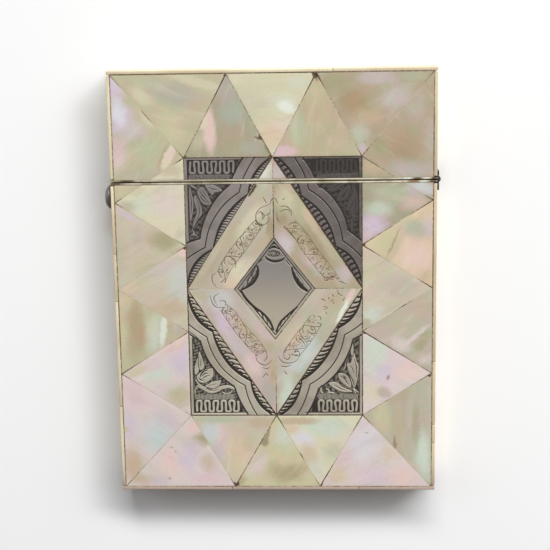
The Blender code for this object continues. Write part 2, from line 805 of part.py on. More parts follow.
def hinge_leaf(name, side, spans, length):
    """A leaf let into the side strip, with tabs that carry its knuckles."""
    near = side * (BARREL_RADIUS + LEAF_GAP)
    far = near + side * length
    low = middle_height - BARREL_LENGTH / 2
    high = middle_height + BARREL_LENGTH / 2
    tab_end = side * LEAF_TAB_GAP
    outline = [Vector((far, high)), Vector((far, low)), Vector((near, low))]
    for start, end in spans:
        tab_low, tab_high = start + TAB_INSET, end - TAB_INSET
        outline += [Vector((near, tab_low)), Vector((tab_end, tab_low)),
                    Vector((tab_end, tab_high)), Vector((near, tab_high))]
    outline.append(Vector((near, high)))
    inner_face = half_width - EDGE_THICKNESS
    leaf = side_piece(name, [outline], inner_face, half_width + LEAF_PROUD, DARK_METAL)
    leaf.location.y = seam
    leaf = as_mesh(leaf)
    centre = (hinge_x, seam, 0)
    knuckles = rods(name + "_knuckles", BARREL_RADIUS, spans, None, cutters)
    knuckles.location = centre
    combine(leaf, "UNION", knuckles)
    ends = [(low - OVERCUT, high + OVERCUT)]
    hole = rods(name + "_pin_hole", PIN_RADIUS + PIN_CLEARANCE, ends, None, cutters)
    hole.location = centre
    combine(leaf, "DIFFERENCE", hole)
    return leaf


def make_hinge():
    lower, middle, upper = knuckle_spans()
    body_leaf = hinge_leaf("hinge_leaf_body", BOTTOM, [lower, upper], BODY_LEAF_LENGTH)
    lid_leaf = hinge_leaf("hinge_leaf_lid", TOP, [middle], LID_LEAF_LENGTH)
    shaft = BARREL_LENGTH / 2 + PIN_CLEARANCE / 2
    head = shaft + PIN_HEAD_HEIGHT - PIN_CLEARANCE / 2
    head_face = PIN_HEAD_RADIUS - PIN_HEAD_CHAMFER
    pin = turned("hinge_pin", [
        (0, head), (head_face, head), (PIN_HEAD_RADIUS, shaft), (PIN_RADIUS, shaft),
        (PIN_RADIUS, -shaft), (PIN_HEAD_RADIUS, -shaft), (head_face, -head), (0, -head)],
        DARK_METAL)
    pin.location = (hinge_x, seam, middle_height)
    return [body_leaf, pin], [lid_leaf]


def button_place():
    return Vector((-half_width, seam - BUTTON_BELOW_SEAM, middle_height))


def stem_hole(name):
    """A cutter along X, for the button's stem to slide in."""
    depth = carcass_inset + WALL + OVERCUT
    radius = STEM_RADIUS + STEM_CLEARANCE
    hole = rods(name, radius, [(-depth + OVERCUT / 2, OVERCUT / 2)], None, cutters)
    hole.rotation_euler = (0, -math.pi / 2, 0)
    hole.location = button_place()
    return hole


def make_button():
    """A domed button on a stem. Its own axis is the line along which it is pressed."""
    rim_low = BUTTON_FOOT + BUTTON_UNDERCUT
    rim_high = rim_low + BUTTON_RIM
    top = rim_high + BUTTON_DOME - BUTTON_UNDERCUT
    dome = []
    for step in range(DOME_STEPS + 1):
        share = step / DOME_STEPS
        dome.append((BUTTON_RADIUS * share, top - (top - rim_high) * share * share))
    button = turned("push_button", dome + [
        (BUTTON_RADIUS, rim_low), ((STEM_RADIUS + BUTTON_RADIUS) / 2, BUTTON_FOOT),
        (STEM_RADIUS, BUTTON_FOOT), (STEM_RADIUS, -STEM_DEPTH), (0, -STEM_DEPTH)], DARK_METAL)
    button.rotation_euler = (0, -math.pi / 2, 0)
    button.location = button_place()
    return button


def parent_to(empty, objects):
    for obj in objects:
        obj.parent = empty
        obj.matrix_parent_inverse = empty.matrix_world.inverted()


def main():
    body_pieces, lid_pieces = [], []
    for make in (make_carcasses, make_rims, make_edges, make_front, make_back, make_hinge):
        body, lid = make()
        body_pieces += body
        lid_pieces += lid
    for leaf in (obj for obj in pieces.objects if obj.name.startswith("hinge_leaf")):
        smooth_round(leaf)
    make_button()
    body_axis = bpy.data.objects.new("body_origin", None)
    lid_axis = bpy.data.objects.new("lid_hinge_axis", None)
    lid_axis.location = (hinge_x, seam, middle_height)
    for empty in (body_axis, lid_axis):
        pieces.objects.link(empty)
    bpy.context.view_layer.update()
    parent_to(body_axis, body_pieces)
    parent_to(lid_axis, lid_pieces)
    bpy.context.view_layer.update()


main()
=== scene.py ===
"""The finish of a mother-of-pearl card case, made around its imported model.

Lengths are in millimetres until a mesh is made, and then in metres. The front faces +Z, the lid is
towards +Y and its hinge is on the +X side. "Depth" in an engraving is measured down from the face.
"""

import math

import bmesh
import bpy
import numpy as np
from mathutils import Matrix, Vector


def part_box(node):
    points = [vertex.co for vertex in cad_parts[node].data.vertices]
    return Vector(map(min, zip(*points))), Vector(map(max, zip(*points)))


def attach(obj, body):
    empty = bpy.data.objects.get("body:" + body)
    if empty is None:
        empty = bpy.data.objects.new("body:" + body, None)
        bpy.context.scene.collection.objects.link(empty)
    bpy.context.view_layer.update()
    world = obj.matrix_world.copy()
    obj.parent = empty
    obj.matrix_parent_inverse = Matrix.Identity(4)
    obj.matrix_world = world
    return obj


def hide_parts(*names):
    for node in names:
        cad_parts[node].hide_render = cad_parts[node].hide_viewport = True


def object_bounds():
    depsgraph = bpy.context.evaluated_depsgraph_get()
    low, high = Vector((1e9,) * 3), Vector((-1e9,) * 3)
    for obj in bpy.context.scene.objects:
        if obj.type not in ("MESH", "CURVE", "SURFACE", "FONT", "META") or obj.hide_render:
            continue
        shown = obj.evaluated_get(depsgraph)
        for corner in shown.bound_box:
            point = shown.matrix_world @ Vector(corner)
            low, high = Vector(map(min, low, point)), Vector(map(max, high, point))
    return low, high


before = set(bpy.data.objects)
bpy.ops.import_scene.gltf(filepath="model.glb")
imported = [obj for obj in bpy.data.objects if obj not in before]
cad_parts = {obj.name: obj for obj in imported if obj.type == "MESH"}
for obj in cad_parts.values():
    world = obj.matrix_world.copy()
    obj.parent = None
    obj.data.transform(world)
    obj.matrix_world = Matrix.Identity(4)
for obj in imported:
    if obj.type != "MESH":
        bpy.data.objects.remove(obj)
CAD_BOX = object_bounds()

MM = 0.001


def corners_of(node):
    """The lowest and the highest corner of a CAD node, in millimetres."""
    low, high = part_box(node)
    return low / MM, high / MM


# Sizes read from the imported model
HALF_JOINT = 0.15          # the CAD's tiles stand this far back from the middle of each joint
PLATE_LOW, PLATE_HIGH = corners_of("metal_corner_bottom_right")
FRONT = PLATE_HIGH.z
TILE_FOOT = PLATE_LOW.z
PANEL_X = PLATE_HIGH.x + HALF_JOINT
PANEL_LOW = PLATE_LOW.y - HALF_JOINT
PANEL_HIGH = corners_of("metal_corner_top_right_lid")[1].y + HALF_JOINT
PANEL_MIDDLE = (PANEL_LOW + PANEL_HIGH) / 2
PANEL_Y = (PANEL_HIGH - PANEL_LOW) / 2
PEARL_X = corners_of("tile_right_5")[1].x + HALF_JOINT
PEARL_Y = corners_of("tile_top_1")[1].y + HALF_JOINT
BONE_INNER_X = corners_of("edge_body_right")[0].x
BONE_OUTER_X = corners_of("edge_body_right")[1].x
BODY_MOUTH = corners_of("body_rim")[0].y
LID_MOUTH = corners_of("lid_rim")[1].y
SEAM = (BODY_MOUTH + LID_MOUTH) / 2
CARTOUCHE_LOW, CARTOUCHE_HIGH = corners_of("cartouche")
CARTOUCHE_SLANT = math.hypot(CARTOUCHE_HIGH.x, (CARTOUCHE_HIGH.y - CARTOUCHE_LOW.y) / 2)
CARTOUCHE_X = CARTOUCHE_HIGH.x + HALF_JOINT * CARTOUCHE_SLANT / (CARTOUCHE_HIGH.y - PANEL_MIDDLE)
CARTOUCHE_Y = (CARTOUCHE_HIGH.y - PANEL_MIDDLE) + HALF_JOINT * CARTOUCHE_SLANT / CARTOUCHE_HIGH.x

# Finish of the mosaic
TILE_GAP = 0.05            # each tile's edge stands this far from the middle of its joint
BACK_GAP = 0.08            # and this far on the back
TILE_GRID = 0.32           # spacing of the mesh on a tile
BACK_GRID = 0.8            # and on a tile of the back
TILE_WAVE = 0.012          # depth and length of the waves on a tile that isn't quite flat
TILE_WAVE_LENGTH = 9.0
EDGE_WEAR = 0.02           # depth of the rubbed edge, and its width on pearl and on a plate
EDGE_WEAR_WIDTH = 0.3
PLATE_WEAR_WIDTH = 0.14
CHIP_DEPTH = 0.18
CHIP_RAGGED, CHIP_RAGGED_LENGTH = 0.35, 1.4    # how ragged a chip's edge is
RIM_GAP = 0.04             # between a tile and the rim of the seam
LEAST_AREA = 1e-3          # no tile is made of less than this, in square millimetres
LEAST_LINE = 1e-3          # and no part of a dirt line that is less than this share of it
LEVEL = 1e-6               # a line that rises less than this runs level, in millimetres
# The seam as each body has it: where the body's side of it starts, and towards which end it lies
SEAM_SIDES = (("body", BODY_MOUTH - RIM_GAP, -1), ("lid", LID_MOUTH + RIM_GAP, 1))
SIGNS = {"left": -1, "right": 1, "bottom": -1, "top": 1}

# Finish of the engraved plates
PLATE_GRID = 0.09
STRIP_GRID = 0.095
RECESS_DEPTH = 0.16
LINE_DEPTH = 0.14
HATCH_DEPTH = 0.096
FIELD_DEPTH = 0.1
SCROLL_DEPTH = 0.09
SCROLL_WIDTH = 0.22
LEAF_DEPTH = 0.068
LEAF_WIDTH = 0.17
STROKE_SOFTNESS = 0.06
TINY = 1e-12               # stands for a span's squared length where it has none


# Plane geometry

def plane_point(x, y):
    return Vector((x, y))


def line_of(*places):
    """Plane points from pairs of numbers."""
    return [plane_point(*place) for place in places]


def smooth_step(value):
    """0 below 0, 1 above 1 and an even rise between."""
    value = np.clip(value, 0, 1)
    return value * value * (3 - 2 * value)


def signed_area(outline):
    return sum(a.cross(b) for a, b in zip(outline, outline[1:] + outline[:1])) / 2


def anticlockwise(outline):
    return outline if signed_area(outline) > 0 else outline[::-1]


def inset(outline, distance):
    """A convex anticlockwise outline with every edge moved inwards."""
    count = len(outline)
    moved = []
    for i in range(count):
        before, here, after = outline[i - 1], outline[i], outline[(i + 1) % count]
        first = (here - before).normalized()
        second = (after - here).normalized()
        first_normal = plane_point(-first.y, first.x)
        second_normal = plane_point(-second.y, second.x)
        turn = 1 + first_normal.dot(second_normal)
        moved.append(here + (first_normal + second_normal) * (distance / turn))
    return moved


def clip(outline, limit, side):
    """The part of a convex outline above (side 1) or below (side -1) the line y = limit."""
    kept = []
    for here, after in zip(outline, outline[1:] + outline[:1]):
        here_over, after_over = side * (here.y - limit), side * (after.y - limit)
        if here_over >= 0:
            kept.append(here)
        if here_over * after_over < 0:
            kept.append(here.lerp(after, here_over / (here_over - after_over)))
    return kept


def shares_of(outline):
    """The outline's shares on the body and on the lid, each with a small gap to its rim."""
    shares = []
    for body, limit, side in SEAM_SIDES:
        share = clip(outline, limit, side)
        if len(share) > 2 and abs(signed_area(share)) > LEAST_AREA:
            shares.append((body, share))
    return shares


def arc(start, end, sagitta, steps=14):
    """Points of a shallow arc that stands off its chord by the sagitta, to the chord's right."""
    start, end = line_of(start, end)
    chord = end - start
    normal = plane_point(chord.y, -chord.x).normalized()
    shares = [i / steps for i in range(steps + 1)]
    return [start + chord * share + normal * (4 * sagitta * share * (1 - share)) for share in shares]


def smooth_path(points, steps=6, closed=False):
    """A Catmull-Rom curve through a few points."""
    points = line_of(*points)
    count = len(points)
    curve = []
    for i in range(count if closed else count - 1):
        if closed:
            p0, p1, p2, p3 = (points[(i + k) % count] for k in (-1, 0, 1, 2))
        else:
            p0, p1 = points[max(i - 1, 0)], points[i]
            p2, p3 = points[i + 1], points[min(i + 2, count - 1)]
        for step in range(steps):
            t = step / steps
            curve.append(0.5 * (2 * p1 + (p2 - p0) * t + (2 * p0 - 5 * p1 + 4 * p2 - p3) * t ** 2
                                + (3 * p1 - p0 - 3 * p2 + p3) * t ** 3))
    return curve if closed else curve + points[-1:]


def point_along(path, share):
    """The point at a share of a path's steps."""
    place = min(max(share, 0.0), 1.0) * (len(path) - 1)
    index = min(int(place), len(path) - 2)
    return path[index].lerp(path[index + 1], place - index)


def nearest_on(outline, point):
    """The outline's point that is nearest to a point."""
    spots = []
    for a, b in zip(outline, outline[1:] + outline[:1]):
        run = b - a
        spots.append(a + run * min(1.0, max(0.0, (point - a).dot(run) / run.length_squared)))
    return min(spots, key=lambda spot: (spot - point).length)


def distance_inside(outline, x, y):
    """How far points are inside a convex anticlockwise outline."""
    nearest = np.full_like(x, np.inf)
    for a, b in zip(outline, outline[1:] + outline[:1]):
        edge = (b - a).normalized()
        nearest = np.minimum(nearest, edge.x * (y - a.y) - edge.y * (x - a.x))
    return nearest


def ripple(x, y, seed, wavelength, count=5):
    """A gentle uneven surface from -1 to 1, as a sum of waves of about this length."""
    waves = np.random.default_rng(seed)
    total = np.zeros_like(x)
    for _ in range(count):
        angle, phase = waves.uniform(0, 2 * math.pi, 2)
        pace = 2 * math.pi / (wavelength * waves.uniform(0.6, 1.7))
        total += np.sin((x * math.cos(angle) + y * math.sin(angle)) * pace + phase)
    return total / count


# Engraving

class Engraving:
    """Depths below a plate's face at the points x, y, built up stroke by stroke.

    An area is given as the numbers of the points that it touches and their weights from 0 to 1.
    """

    def __init__(self, x, y):
        self.x, self.y = x, y
        self.depth = np.zeros_like(x)

    def near(self, points, reach):
        """Which of the plate's points lie within reach of the points' box."""
        across = [point.x for point in points]
        along = [point.y for point in points]
        return np.flatnonzero(
            (self.x > min(across) - reach) & (self.x < max(across) + reach)
            & (self.y > min(along) - reach) & (self.y < max(along) + reach))

    def measure(self, path, places):
        """Distance to a path, and the share along it of its nearest point."""
        x, y = self.x[places], self.y[places]
        nearest = np.full_like(x, np.inf)
        share = np.zeros_like(x)
        spans = len(path) - 1
        for i, (a, b) in enumerate(zip(path, path[1:])):
            run = b - a
            length = max(run.length_squared, TINY)
            t = np.clip(((x - a.x) * run.x + (y - a.y) * run.y) / length, 0, 1)
            distance = np.hypot(x - a.x - t * run.x, y - a.y - t * run.y)
            closer = distance < nearest
            nearest = np.where(closer, distance, nearest)
            share = np.where(closer, (i + t) / spans, share)
        return nearest, share

    def inside(self, outline, places):
        """Signed distance, positive inside a closed outline of any shape."""
        x, y = self.x[places], self.y[places]
        odd = np.zeros(len(x), bool)
        for a, b in zip(outline, outline[1:] + outline[:1]):
            if a.y == b.y:
                continue
            crosses = (a.y > y) != (b.y > y)
            odd ^= crosses & (x < a.x + (y - a.y) * (b.x - a.x) / (b.y - a.y))
        distance, _ = self.measure(outline + outline[:1], places)
        return np.where(odd, distance, -distance)

    def stroke(self, path, widths):
        """The area of a stroke whose width changes along its path."""
        widths = np.atleast_1d(widths).astype(float)
        places = self.near(path, widths.max() + STROKE_SOFTNESS)
        distance, share = self.measure(path, places)
        half = np.interp(share, np.linspace(0, 1, len(widths)), widths) / 2
        return places, smooth_step((half + STROKE_SOFTNESS - distance) / (2 * STROKE_SOFTNESS))

    def shape(self, outline):
        """The area inside an outline."""
        places = self.near(outline, STROKE_SOFTNESS)
        return places, smooth_step(0.5 + self.inside(outline, places) / (2 * STROKE_SOFTNESS))

    def lower(self, area, depth):
        places, weight = area
        self.depth[places] = np.maximum(self.depth[places], depth * weight)

    def lift(self, area, depth):
        places, weight = area
        self.depth[places] += (np.minimum(depth, self.depth[places]) - self.depth[places]) * weight

    def cut(self, path, widths, depth):
        """Cuts a groove along a path."""
        self.lower(self.stroke(path, widths), depth)

    def ridge(self, path, widths, depth=0.0):
        """Leaves a ridge standing along a path in sunk ground."""
        self.lift(self.stroke(path, widths), depth)

    def sink(self, outline, depth):
        """Lowers the ground inside an outline."""
        self.lower(self.shape(outline), depth)

    def leave(self, outline, depth):
        """Leaves a shape standing in sunk ground."""
        self.lift(self.shape(outline), depth)


# Corner plates

# Their art is drawn in distances from the case's centre line (first) and from the panel's middle
# line (second), so that the panel's own corner is at (PANEL_X, PANEL_Y)
FIELD_SIDE = 20.6          # the sunk field ends here beside the panel's long side, and at its end
FIELD_END = 31.6
FIELD_TIP = 7.6            # and here beside the centre line and the middle line
FIELD_FOOT = 12.2
MARGIN = 0.1               # between the art's areas
WANDER, WANDER_LENGTH = 0.07, 7.0      # how far the graver strays from its line
UNEVEN, UNEVEN_LENGTH = 0.5, 1.1       # how rough the sunk field is
MEANDER_START, MEANDER_END = 28.45, 31.45
MEANDER_PITCH = 1.03
MEANDER_RIBBON = 0.54
MEANDER_POINT = 6          # the point of the field's last arc at which the meander starts
MEANDER_INSET = 0.35       # between the ribbon's turns and its band's edges
MEANDER_FIRST = 0.75       # and between its first turn and the field's side
MEANDER_LEAN = (-0.05, 0.12)
MEANDER_SLANT, HATCH_SLANT = 1.0, 0.6  # how much further in each band reaches at its far edge
HATCH_START, HATCH_END = 26.8, 28.05
HATCH_PITCH = 0.33
HATCH_STROKE = 0.17
HATCH_UNEVEN = 0.25        # how much later a stroke may start than the first
HATCH_LEAN, HATCH_WORN = 0.05, 0.03
LEAF_RIM = 0.36            # width of the groove round a leaf, and beyond a ridge's two sides
RIDGE_RIM = 0.4
LEAF_RIM_DEPTH, RIDGE_RIM_DEPTH = 0.85, 0.8    # as shares of a line's depth
LEAF_WORN = 0.7            # a leaf's own depth, as a share of the ribbon's
FIELD_LINE = (0.34, 0.42, 0.34)        # widths of the cut lines
BAND_LINE = 0.27
BORDER_LINE = 0.2
SLANT_LINE, SLANT_SOFTNESS = 0.26, 0.1
FIRST_STRAND = 0.6         # a rope's first strand, as a share of its pitch
LEAST_STRAND = 0.3         # and no strand is shorter than this
BORDER_FOOT, BORDER_TIP = 12.4, 7.2    # where the field's two straight borders end
DOUBLED_LINE = ((21.2, 10.8), (19.1, 12.5))

BUD_LEAVES = [
    [(19.0, 15.8), (18.1, 18.2), (17.8, 19.6), (18.4, 20.5), (19.0, 20.3), (19.2, 18.6)],
    [(19.3, 17.4), (19.4, 19.2), (19.2, 20.8), (20.0, 21.8), (20.2, 20.4), (19.9, 18.8)],
    [(19.7, 22.3), (19.1, 21.6), (18.4, 20.9), (17.2, 20.4), (15.9, 20.2), (15.6, 20.9),
     (15.7, 22.1), (16.3, 23.0), (17.2, 23.7), (18.4, 23.9), (19.3, 23.4)],
    [(15.8, 23.6), (13.9, 23.3), (13.8, 23.7), (14.3, 24.9), (15.1, 25.6), (16.3, 25.3),
     (17.7, 24.8), (16.6, 24.1)]]
BUD_RIDGES = [
    ([(19.6, 24.7), (18.2, 25.4), (16.5, 26.2), (14.9, 25.9), (13.7, 25.2), (12.0, 24.9),
      (10.8, 25.3), (10.3, 25.7)], (0.4, 0.7, 0.9, 0.9, 0.8, 0.6, 0.35)),
    ([(13.4, 26.2), (12.6, 26.7), (11.5, 26.5), (11.0, 25.9)], (0.15, 0.36, 0.3, 0.2)),
    ([(19.4, 24.5), (20.2, 25.6), (20.35, 27.0), (20.1, 28.0)], (0.3, 0.35, 0.25)),
    ([(20.0, 23.0), (19.5, 24.0), (18.6, 24.7), (17.4, 25.2)], (0.2, 0.34, 0.2))]
BUD_CUTS = [
    ([(18.9, 22.5), (18.3, 21.2), (17.0, 20.55)], (0.14, 0.42, 0.14)),
    ([(18.5, 22.3), (17.7, 21.5), (16.9, 21.55)], (0.1, 0.28, 0.12)),
    ([(18.4, 23.0), (17.4, 22.2), (16.5, 22.1)], (0.1, 0.26, 0.1)),
    ([(19.2, 22.6), (18.8, 23.1), (18.0, 23.4)], (0.1, 0.3, 0.1)),
    ([(18.6, 17.4), (18.7, 18.9), (18.9, 19.9)], (0.08, 0.14, 0.08)),
    ([(17.0, 24.6), (15.9, 24.5), (15.0, 24.2)], (0.08, 0.14, 0.08)),
    ([(17.6, 25.7), (15.8, 26.0), (14.4, 25.6)], (0.08, 0.14, 0.08))]

FAN_LEAVES = [
    [(18.0, 24.8), (17.0, 25.1), (16.0, 23.8), (15.2, 21.8), (15.0, 20.9), (16.3, 20.7),
     (17.3, 21.4), (18.0, 22.8), (18.3, 24.1)],
    [(18.7, 23.1), (18.0, 21.8), (17.3, 19.8), (17.4, 18.4), (18.3, 17.3), (19.2, 15.8),
     (19.7, 15.0), (19.4, 16.8), (18.6, 18.8), (18.8, 20.4), (19.3, 22.1)],
    [(16.3, 25.7), (14.3, 25.7), (12.2, 24.3), (14.0, 23.8), (14.7, 23.1), (15.7, 24.4)],
    [(20.2, 25.2), (19.4, 22.4), (19.5, 19.2), (20.2, 16.6), (20.3, 20.6)]]
FAN_RIDGES = [
    ([(20.3, 26.0), (19.2, 25.2), (18.2, 24.6)], (0.3, 0.5, 0.2)),
    ([(20.2, 13.3), (19.3, 13.6), (18.4, 12.9)], (0.15, 0.4, 0.15)),
    ([(19.8, 14.9), (19.4, 14.0), (19.6, 13.2)], (0.15, 0.35, 0.15)),
    ([(19.6, 27.6), (19.0, 26.4), (17.6, 26.0)], (0.2, 0.34, 0.15))]
FAN_CUTS = [
    ([(17.6, 24.0), (16.8, 22.8), (15.6, 21.3)], (0.1, 0.24, 0.1)),
    ([(17.6, 23.0), (17.0, 22.0), (16.0, 21.2)], (0.1, 0.26, 0.1)),
    ([(17.1, 24.4), (16.3, 23.2), (15.6, 22.2)], (0.08, 0.16, 0.08)),
    ([(18.6, 22.6), (18.0, 20.4), (18.0, 18.6), (19.0, 16.6)], (0.08, 0.16, 0.08)),
    ([(15.6, 25.0), (14.4, 24.6), (13.2, 24.4)], (0.08, 0.18, 0.08)),
    ([(19.9, 23.8), (19.8, 21.0), (20.0, 18.6)], (0.08, 0.2, 0.08))]

SPRAY_LEAVES = [
    [(19.2, 25.2), (18.3, 22.2), (17.6, 19.7), (17.7, 19.0), (18.5, 18.9), (19.3, 16.3),
     (19.9, 18.4), (20.4, 19.5), (20.3, 21.8), (19.9, 24.0)],
    [(15.4, 21.6), (16.4, 21.5), (17.6, 22.1), (18.3, 23.3), (18.6, 24.7), (18.2, 25.3),
     (16.9, 24.4), (15.9, 23.5), (15.4, 22.4)],
    [(13.0, 24.0), (14.2, 23.7), (15.4, 24.1), (16.6, 25.2), (18.3, 25.9), (18.8, 26.3),
     (17.3, 26.4), (15.7, 26.1), (14.2, 25.2), (13.3, 24.5)],
    [(18.9, 13.6), (18.5, 15.6), (18.9, 17.3), (19.2, 15.6)]]
SPRAY_RIDGES = [
    ([(11.3, 24.9), (11.1, 26.0), (11.8, 26.9), (12.8, 26.7), (13.1, 25.9), (12.4, 25.5)],
     (0.3, 0.44, 0.4, 0.36, 0.25)),
    ([(19.2, 25.6), (20.0, 26.2), (20.5, 26.5)], (0.5, 0.3, 0.1)),
    ([(19.2, 25.6), (19.6, 26.6), (20.0, 27.1)], (0.4, 0.3, 0.1)),
    ([(13.2, 26.4), (14.2, 26.6), (15.2, 27.0)], (0.4, 0.4, 0.15)),
    ([(16.4, 20.8), (17.0, 20.2), (17.2, 18.8)], (0.1, 0.3, 0.1)),
    ([(9.9, 27.6), (10.8, 27.0), (11.4, 27.4)], (0.2, 0.3, 0.15))]
SPRAY_CUTS = [
    ([(15.9, 22.3), (16.9, 22.9), (17.9, 24.4)], (0.1, 0.3, 0.1)),
    ([(16.6, 22.2), (17.4, 22.9)], (0.12, 0.24, 0.1)),
    ([(18.2, 21.8), (19.0, 23.4), (19.4, 24.9)], (0.1, 0.22, 0.1)),
    ([(19.4, 18.0), (19.9, 20.2), (19.8, 22.6)], (0.1, 0.2, 0.1)),
    ([(18.3, 19.6), (18.9, 20.4), (19.3, 21.6)], (0.1, 0.16, 0.1)),
    ([(14.4, 24.5), (15.8, 25.4), (17.4, 26.0)], (0.1, 0.2, 0.1))]


class Rope:
    """The strands that fill a corner's three lenses, between its recess and its slanted edge.

    Nick is the length of the cuts halfway between them, as a share of a strand's own.
    """

    def __init__(self, recess, pitch, direction, stroke, reach=1.0, bend=0.12, nick=0.0):
        self.recess = recess
        self.pitch = pitch
        self.direction = plane_point(*direction).normalized()
        self.stroke = stroke
        self.reach = reach
        self.bend = bend
        self.nick = nick


# How far each of a corner's lines bows out between its cusps
LINE_RISES = {"rope": (1.45, 1.7, 1.1), "band": (0.15, 1.85, 0.45), "field": (0.1, 1.5, 0.3)}


class CornerArt:
    """One engraved corner: where its three lines have their cusps, its rope and its leaves."""

    def __init__(self, seed, cusps, rope, leaves, ribbon=0.0, doubled=False):
        self.seed = seed
        self.lines = {}
        for name, rises in LINE_RISES.items():
            stops = cusps[name]
            self.lines[name] = [arc(a, b, rise) for a, b, rise in zip(stops, stops[1:], rises)]
        self.rope = rope
        self.leaves, self.ridges, self.cuts = leaves
        self.ribbon = ribbon
        self.doubled = doubled


BUD = (BUD_LEAVES, BUD_RIDGES, BUD_CUTS)
FAN = (FAN_LEAVES, FAN_RIDGES, FAN_CUTS)
SPRAY = (SPRAY_LEAVES, SPRAY_RIDGES, SPRAY_CUTS)
CORNERS = {
    "bottom_left": CornerArt(
        11, {"rope": [(21.25, 1.2), (15.4, 10.8), (6.2, 23.5), (1.2, 32.2)],
             "band": [(21.3, 8.9), (16.9, 12.15), (7.75, 24.6), (4.9, 32.2)],
             "field": [(21.3, 11.3), (18.6, 13.1), (10.5, 24.8), (7.1, 32.2)]},
        Rope((0.35, 0.7, 0.8, 0.4), 1.7, (-1, 0.16), (0.42, 0.34, 0.36), 1.0, -0.16, nick=0.45),
        BUD, doubled=True),
    "bottom_right": CornerArt(
        23, {"rope": [(21.2, 1.2), (15.5, 9.9), (6.3, 23.3), (1.2, 32.2)],
             "band": [(21.3, 8.8), (17.0, 11.7), (8.3, 24.4), (5.1, 32.2)],
             "field": [(21.3, 11.6), (19.1, 12.8), (10.5, 25.5), (7.5, 32.2)]},
        Rope((0.3, 0.55, 0.66, 0.4), 1.16, (-1, 0.34), (0.25, 0.44, 0.52, 0.36)), SPRAY),
    "top_left": CornerArt(
        37, {"rope": [(21.3, 1.1), (14.8, 9.9), (6.0, 23.3), (0.9, 31.8)],
             "band": [(21.2, 7.6), (16.8, 10.3), (8.2, 23.8), (4.3, 32.2)],
             "field": [(21.2, 11.4), (18.0, 12.5), (10.5, 25.6), (7.0, 32.2)]},
        Rope((0.3, 0.55, 0.55, 0.35), 0.74, (-1, -0.04), (0.36, 0.3, 0.14), 0.85), FAN, ribbon=0.03),
    "top_right": CornerArt(
        41, {"rope": [(21.1, 1.8), (14.9, 10.4), (6.7, 22.8), (0.9, 32.2)],
             "band": [(21.3, 7.6), (16.7, 11.7), (8.6, 24.3), (5.2, 32.2)],
             "field": [(21.3, 11.6), (18.0, 14.3), (10.7, 25.5), (7.2, 32.2)]},
        Rope((0.3, 0.45, 0.45, 0.3), 1.3, (-1, -0.6), (0.5, 0.6, 0.42), 0.95), SPRAY, ribbon=0.1)}


def rope_strokes(spine, rope):
    """Strokes that part a rope's strands, from the recess towards the plate's slanted edge."""
    lengths = np.concatenate(([0], np.cumsum([(b - a).length for a, b in zip(spine, spine[1:])])))
    closing = -(rope.direction.x / PANEL_X + rope.direction.y / PANEL_Y)
    strokes = []
    for k, place in enumerate(np.arange(rope.pitch * FIRST_STRAND, lengths[-1], rope.pitch / 2)):
        index = min(int(np.searchsorted(lengths, place)) - 1, len(spine) - 2)
        share = (place - lengths[index]) / (lengths[index + 1] - lengths[index])
        start = spine[index].lerp(spine[index + 1], float(share))
        reach = (start.x / PANEL_X + start.y / PANEL_Y - 1) / closing * rope.reach - MARGIN
        if k % 2:
            reach *= rope.nick
        if reach > LEAST_STRAND:
            strokes.append(arc(start, start + rope.direction * reach, rope.bend * reach, steps=5))
    return strokes


def engrave_meander(art, corner):
    """A round-cornered ribbon that runs to and fro along the panel's end."""
    start = corner.lines["field"][2][MEANDER_POINT].x + MARGIN
    side = FIELD_SIDE - MARGIN
    art.sink(line_of((start, MEANDER_START), (side, MEANDER_START), (side, MEANDER_END),
                     (start - MEANDER_SLANT, MEANDER_END)), LINE_DEPTH)
    chance = np.random.default_rng(corner.seed)
    low, high = MEANDER_START + MEANDER_INSET, MEANDER_END - MEANDER_INSET
    across = FIELD_SIDE - MEANDER_FIRST
    stops = []
    for k in range(int((across - start) / MEANDER_PITCH) + 1):
        ends = (high, low) if k % 2 == 0 else (low, high)
        lean = chance.uniform(*MEANDER_LEAN)
        stops += [(across - lean, ends[0]), (across + lean, ends[1])]
        across -= MEANDER_PITCH
    art.ridge(smooth_path(stops), MEANDER_RIBBON, corner.ribbon)


def engrave_hatching(art, corner):
    """A narrow band of fine upright strokes between the leaves and the meander."""
    start = corner.lines["field"][2][0].x
    low, high = HATCH_START - MARGIN, HATCH_END + 2 * MARGIN
    art.sink(line_of((start, low), (FIELD_SIDE, low), (FIELD_SIDE, high), (start - HATCH_SLANT, high)),
             HATCH_DEPTH)
    chance = np.random.default_rng(corner.seed + 1)
    for across in np.arange(start + MARGIN, FIELD_SIDE - 2 * MARGIN, HATCH_PITCH):
        low = HATCH_START + chance.uniform(0, HATCH_UNEVEN)
        art.ridge(line_of((across, low), (across - HATCH_LEAN, HATCH_END)), HATCH_STROKE, HATCH_WORN)


def engrave_leaves(art, corner):
    """The leaves, ridges and veins of a corner, left standing in its sunk field."""
    standing = corner.ribbon * LEAF_WORN
    for leaf in corner.leaves:
        outline = smooth_path(leaf, closed=True)
        art.cut(outline + outline[:1], LEAF_RIM, LINE_DEPTH * LEAF_RIM_DEPTH)
        art.leave(outline, standing)
    for path, widths in corner.ridges:
        art.cut(smooth_path(path), np.array(widths) + RIDGE_RIM, LINE_DEPTH * RIDGE_RIM_DEPTH)
    for path, widths in corner.ridges:
        art.ridge(smooth_path(path), widths, standing)
    for path, widths in corner.cuts:
        art.cut(smooth_path(path), widths, LINE_DEPTH)


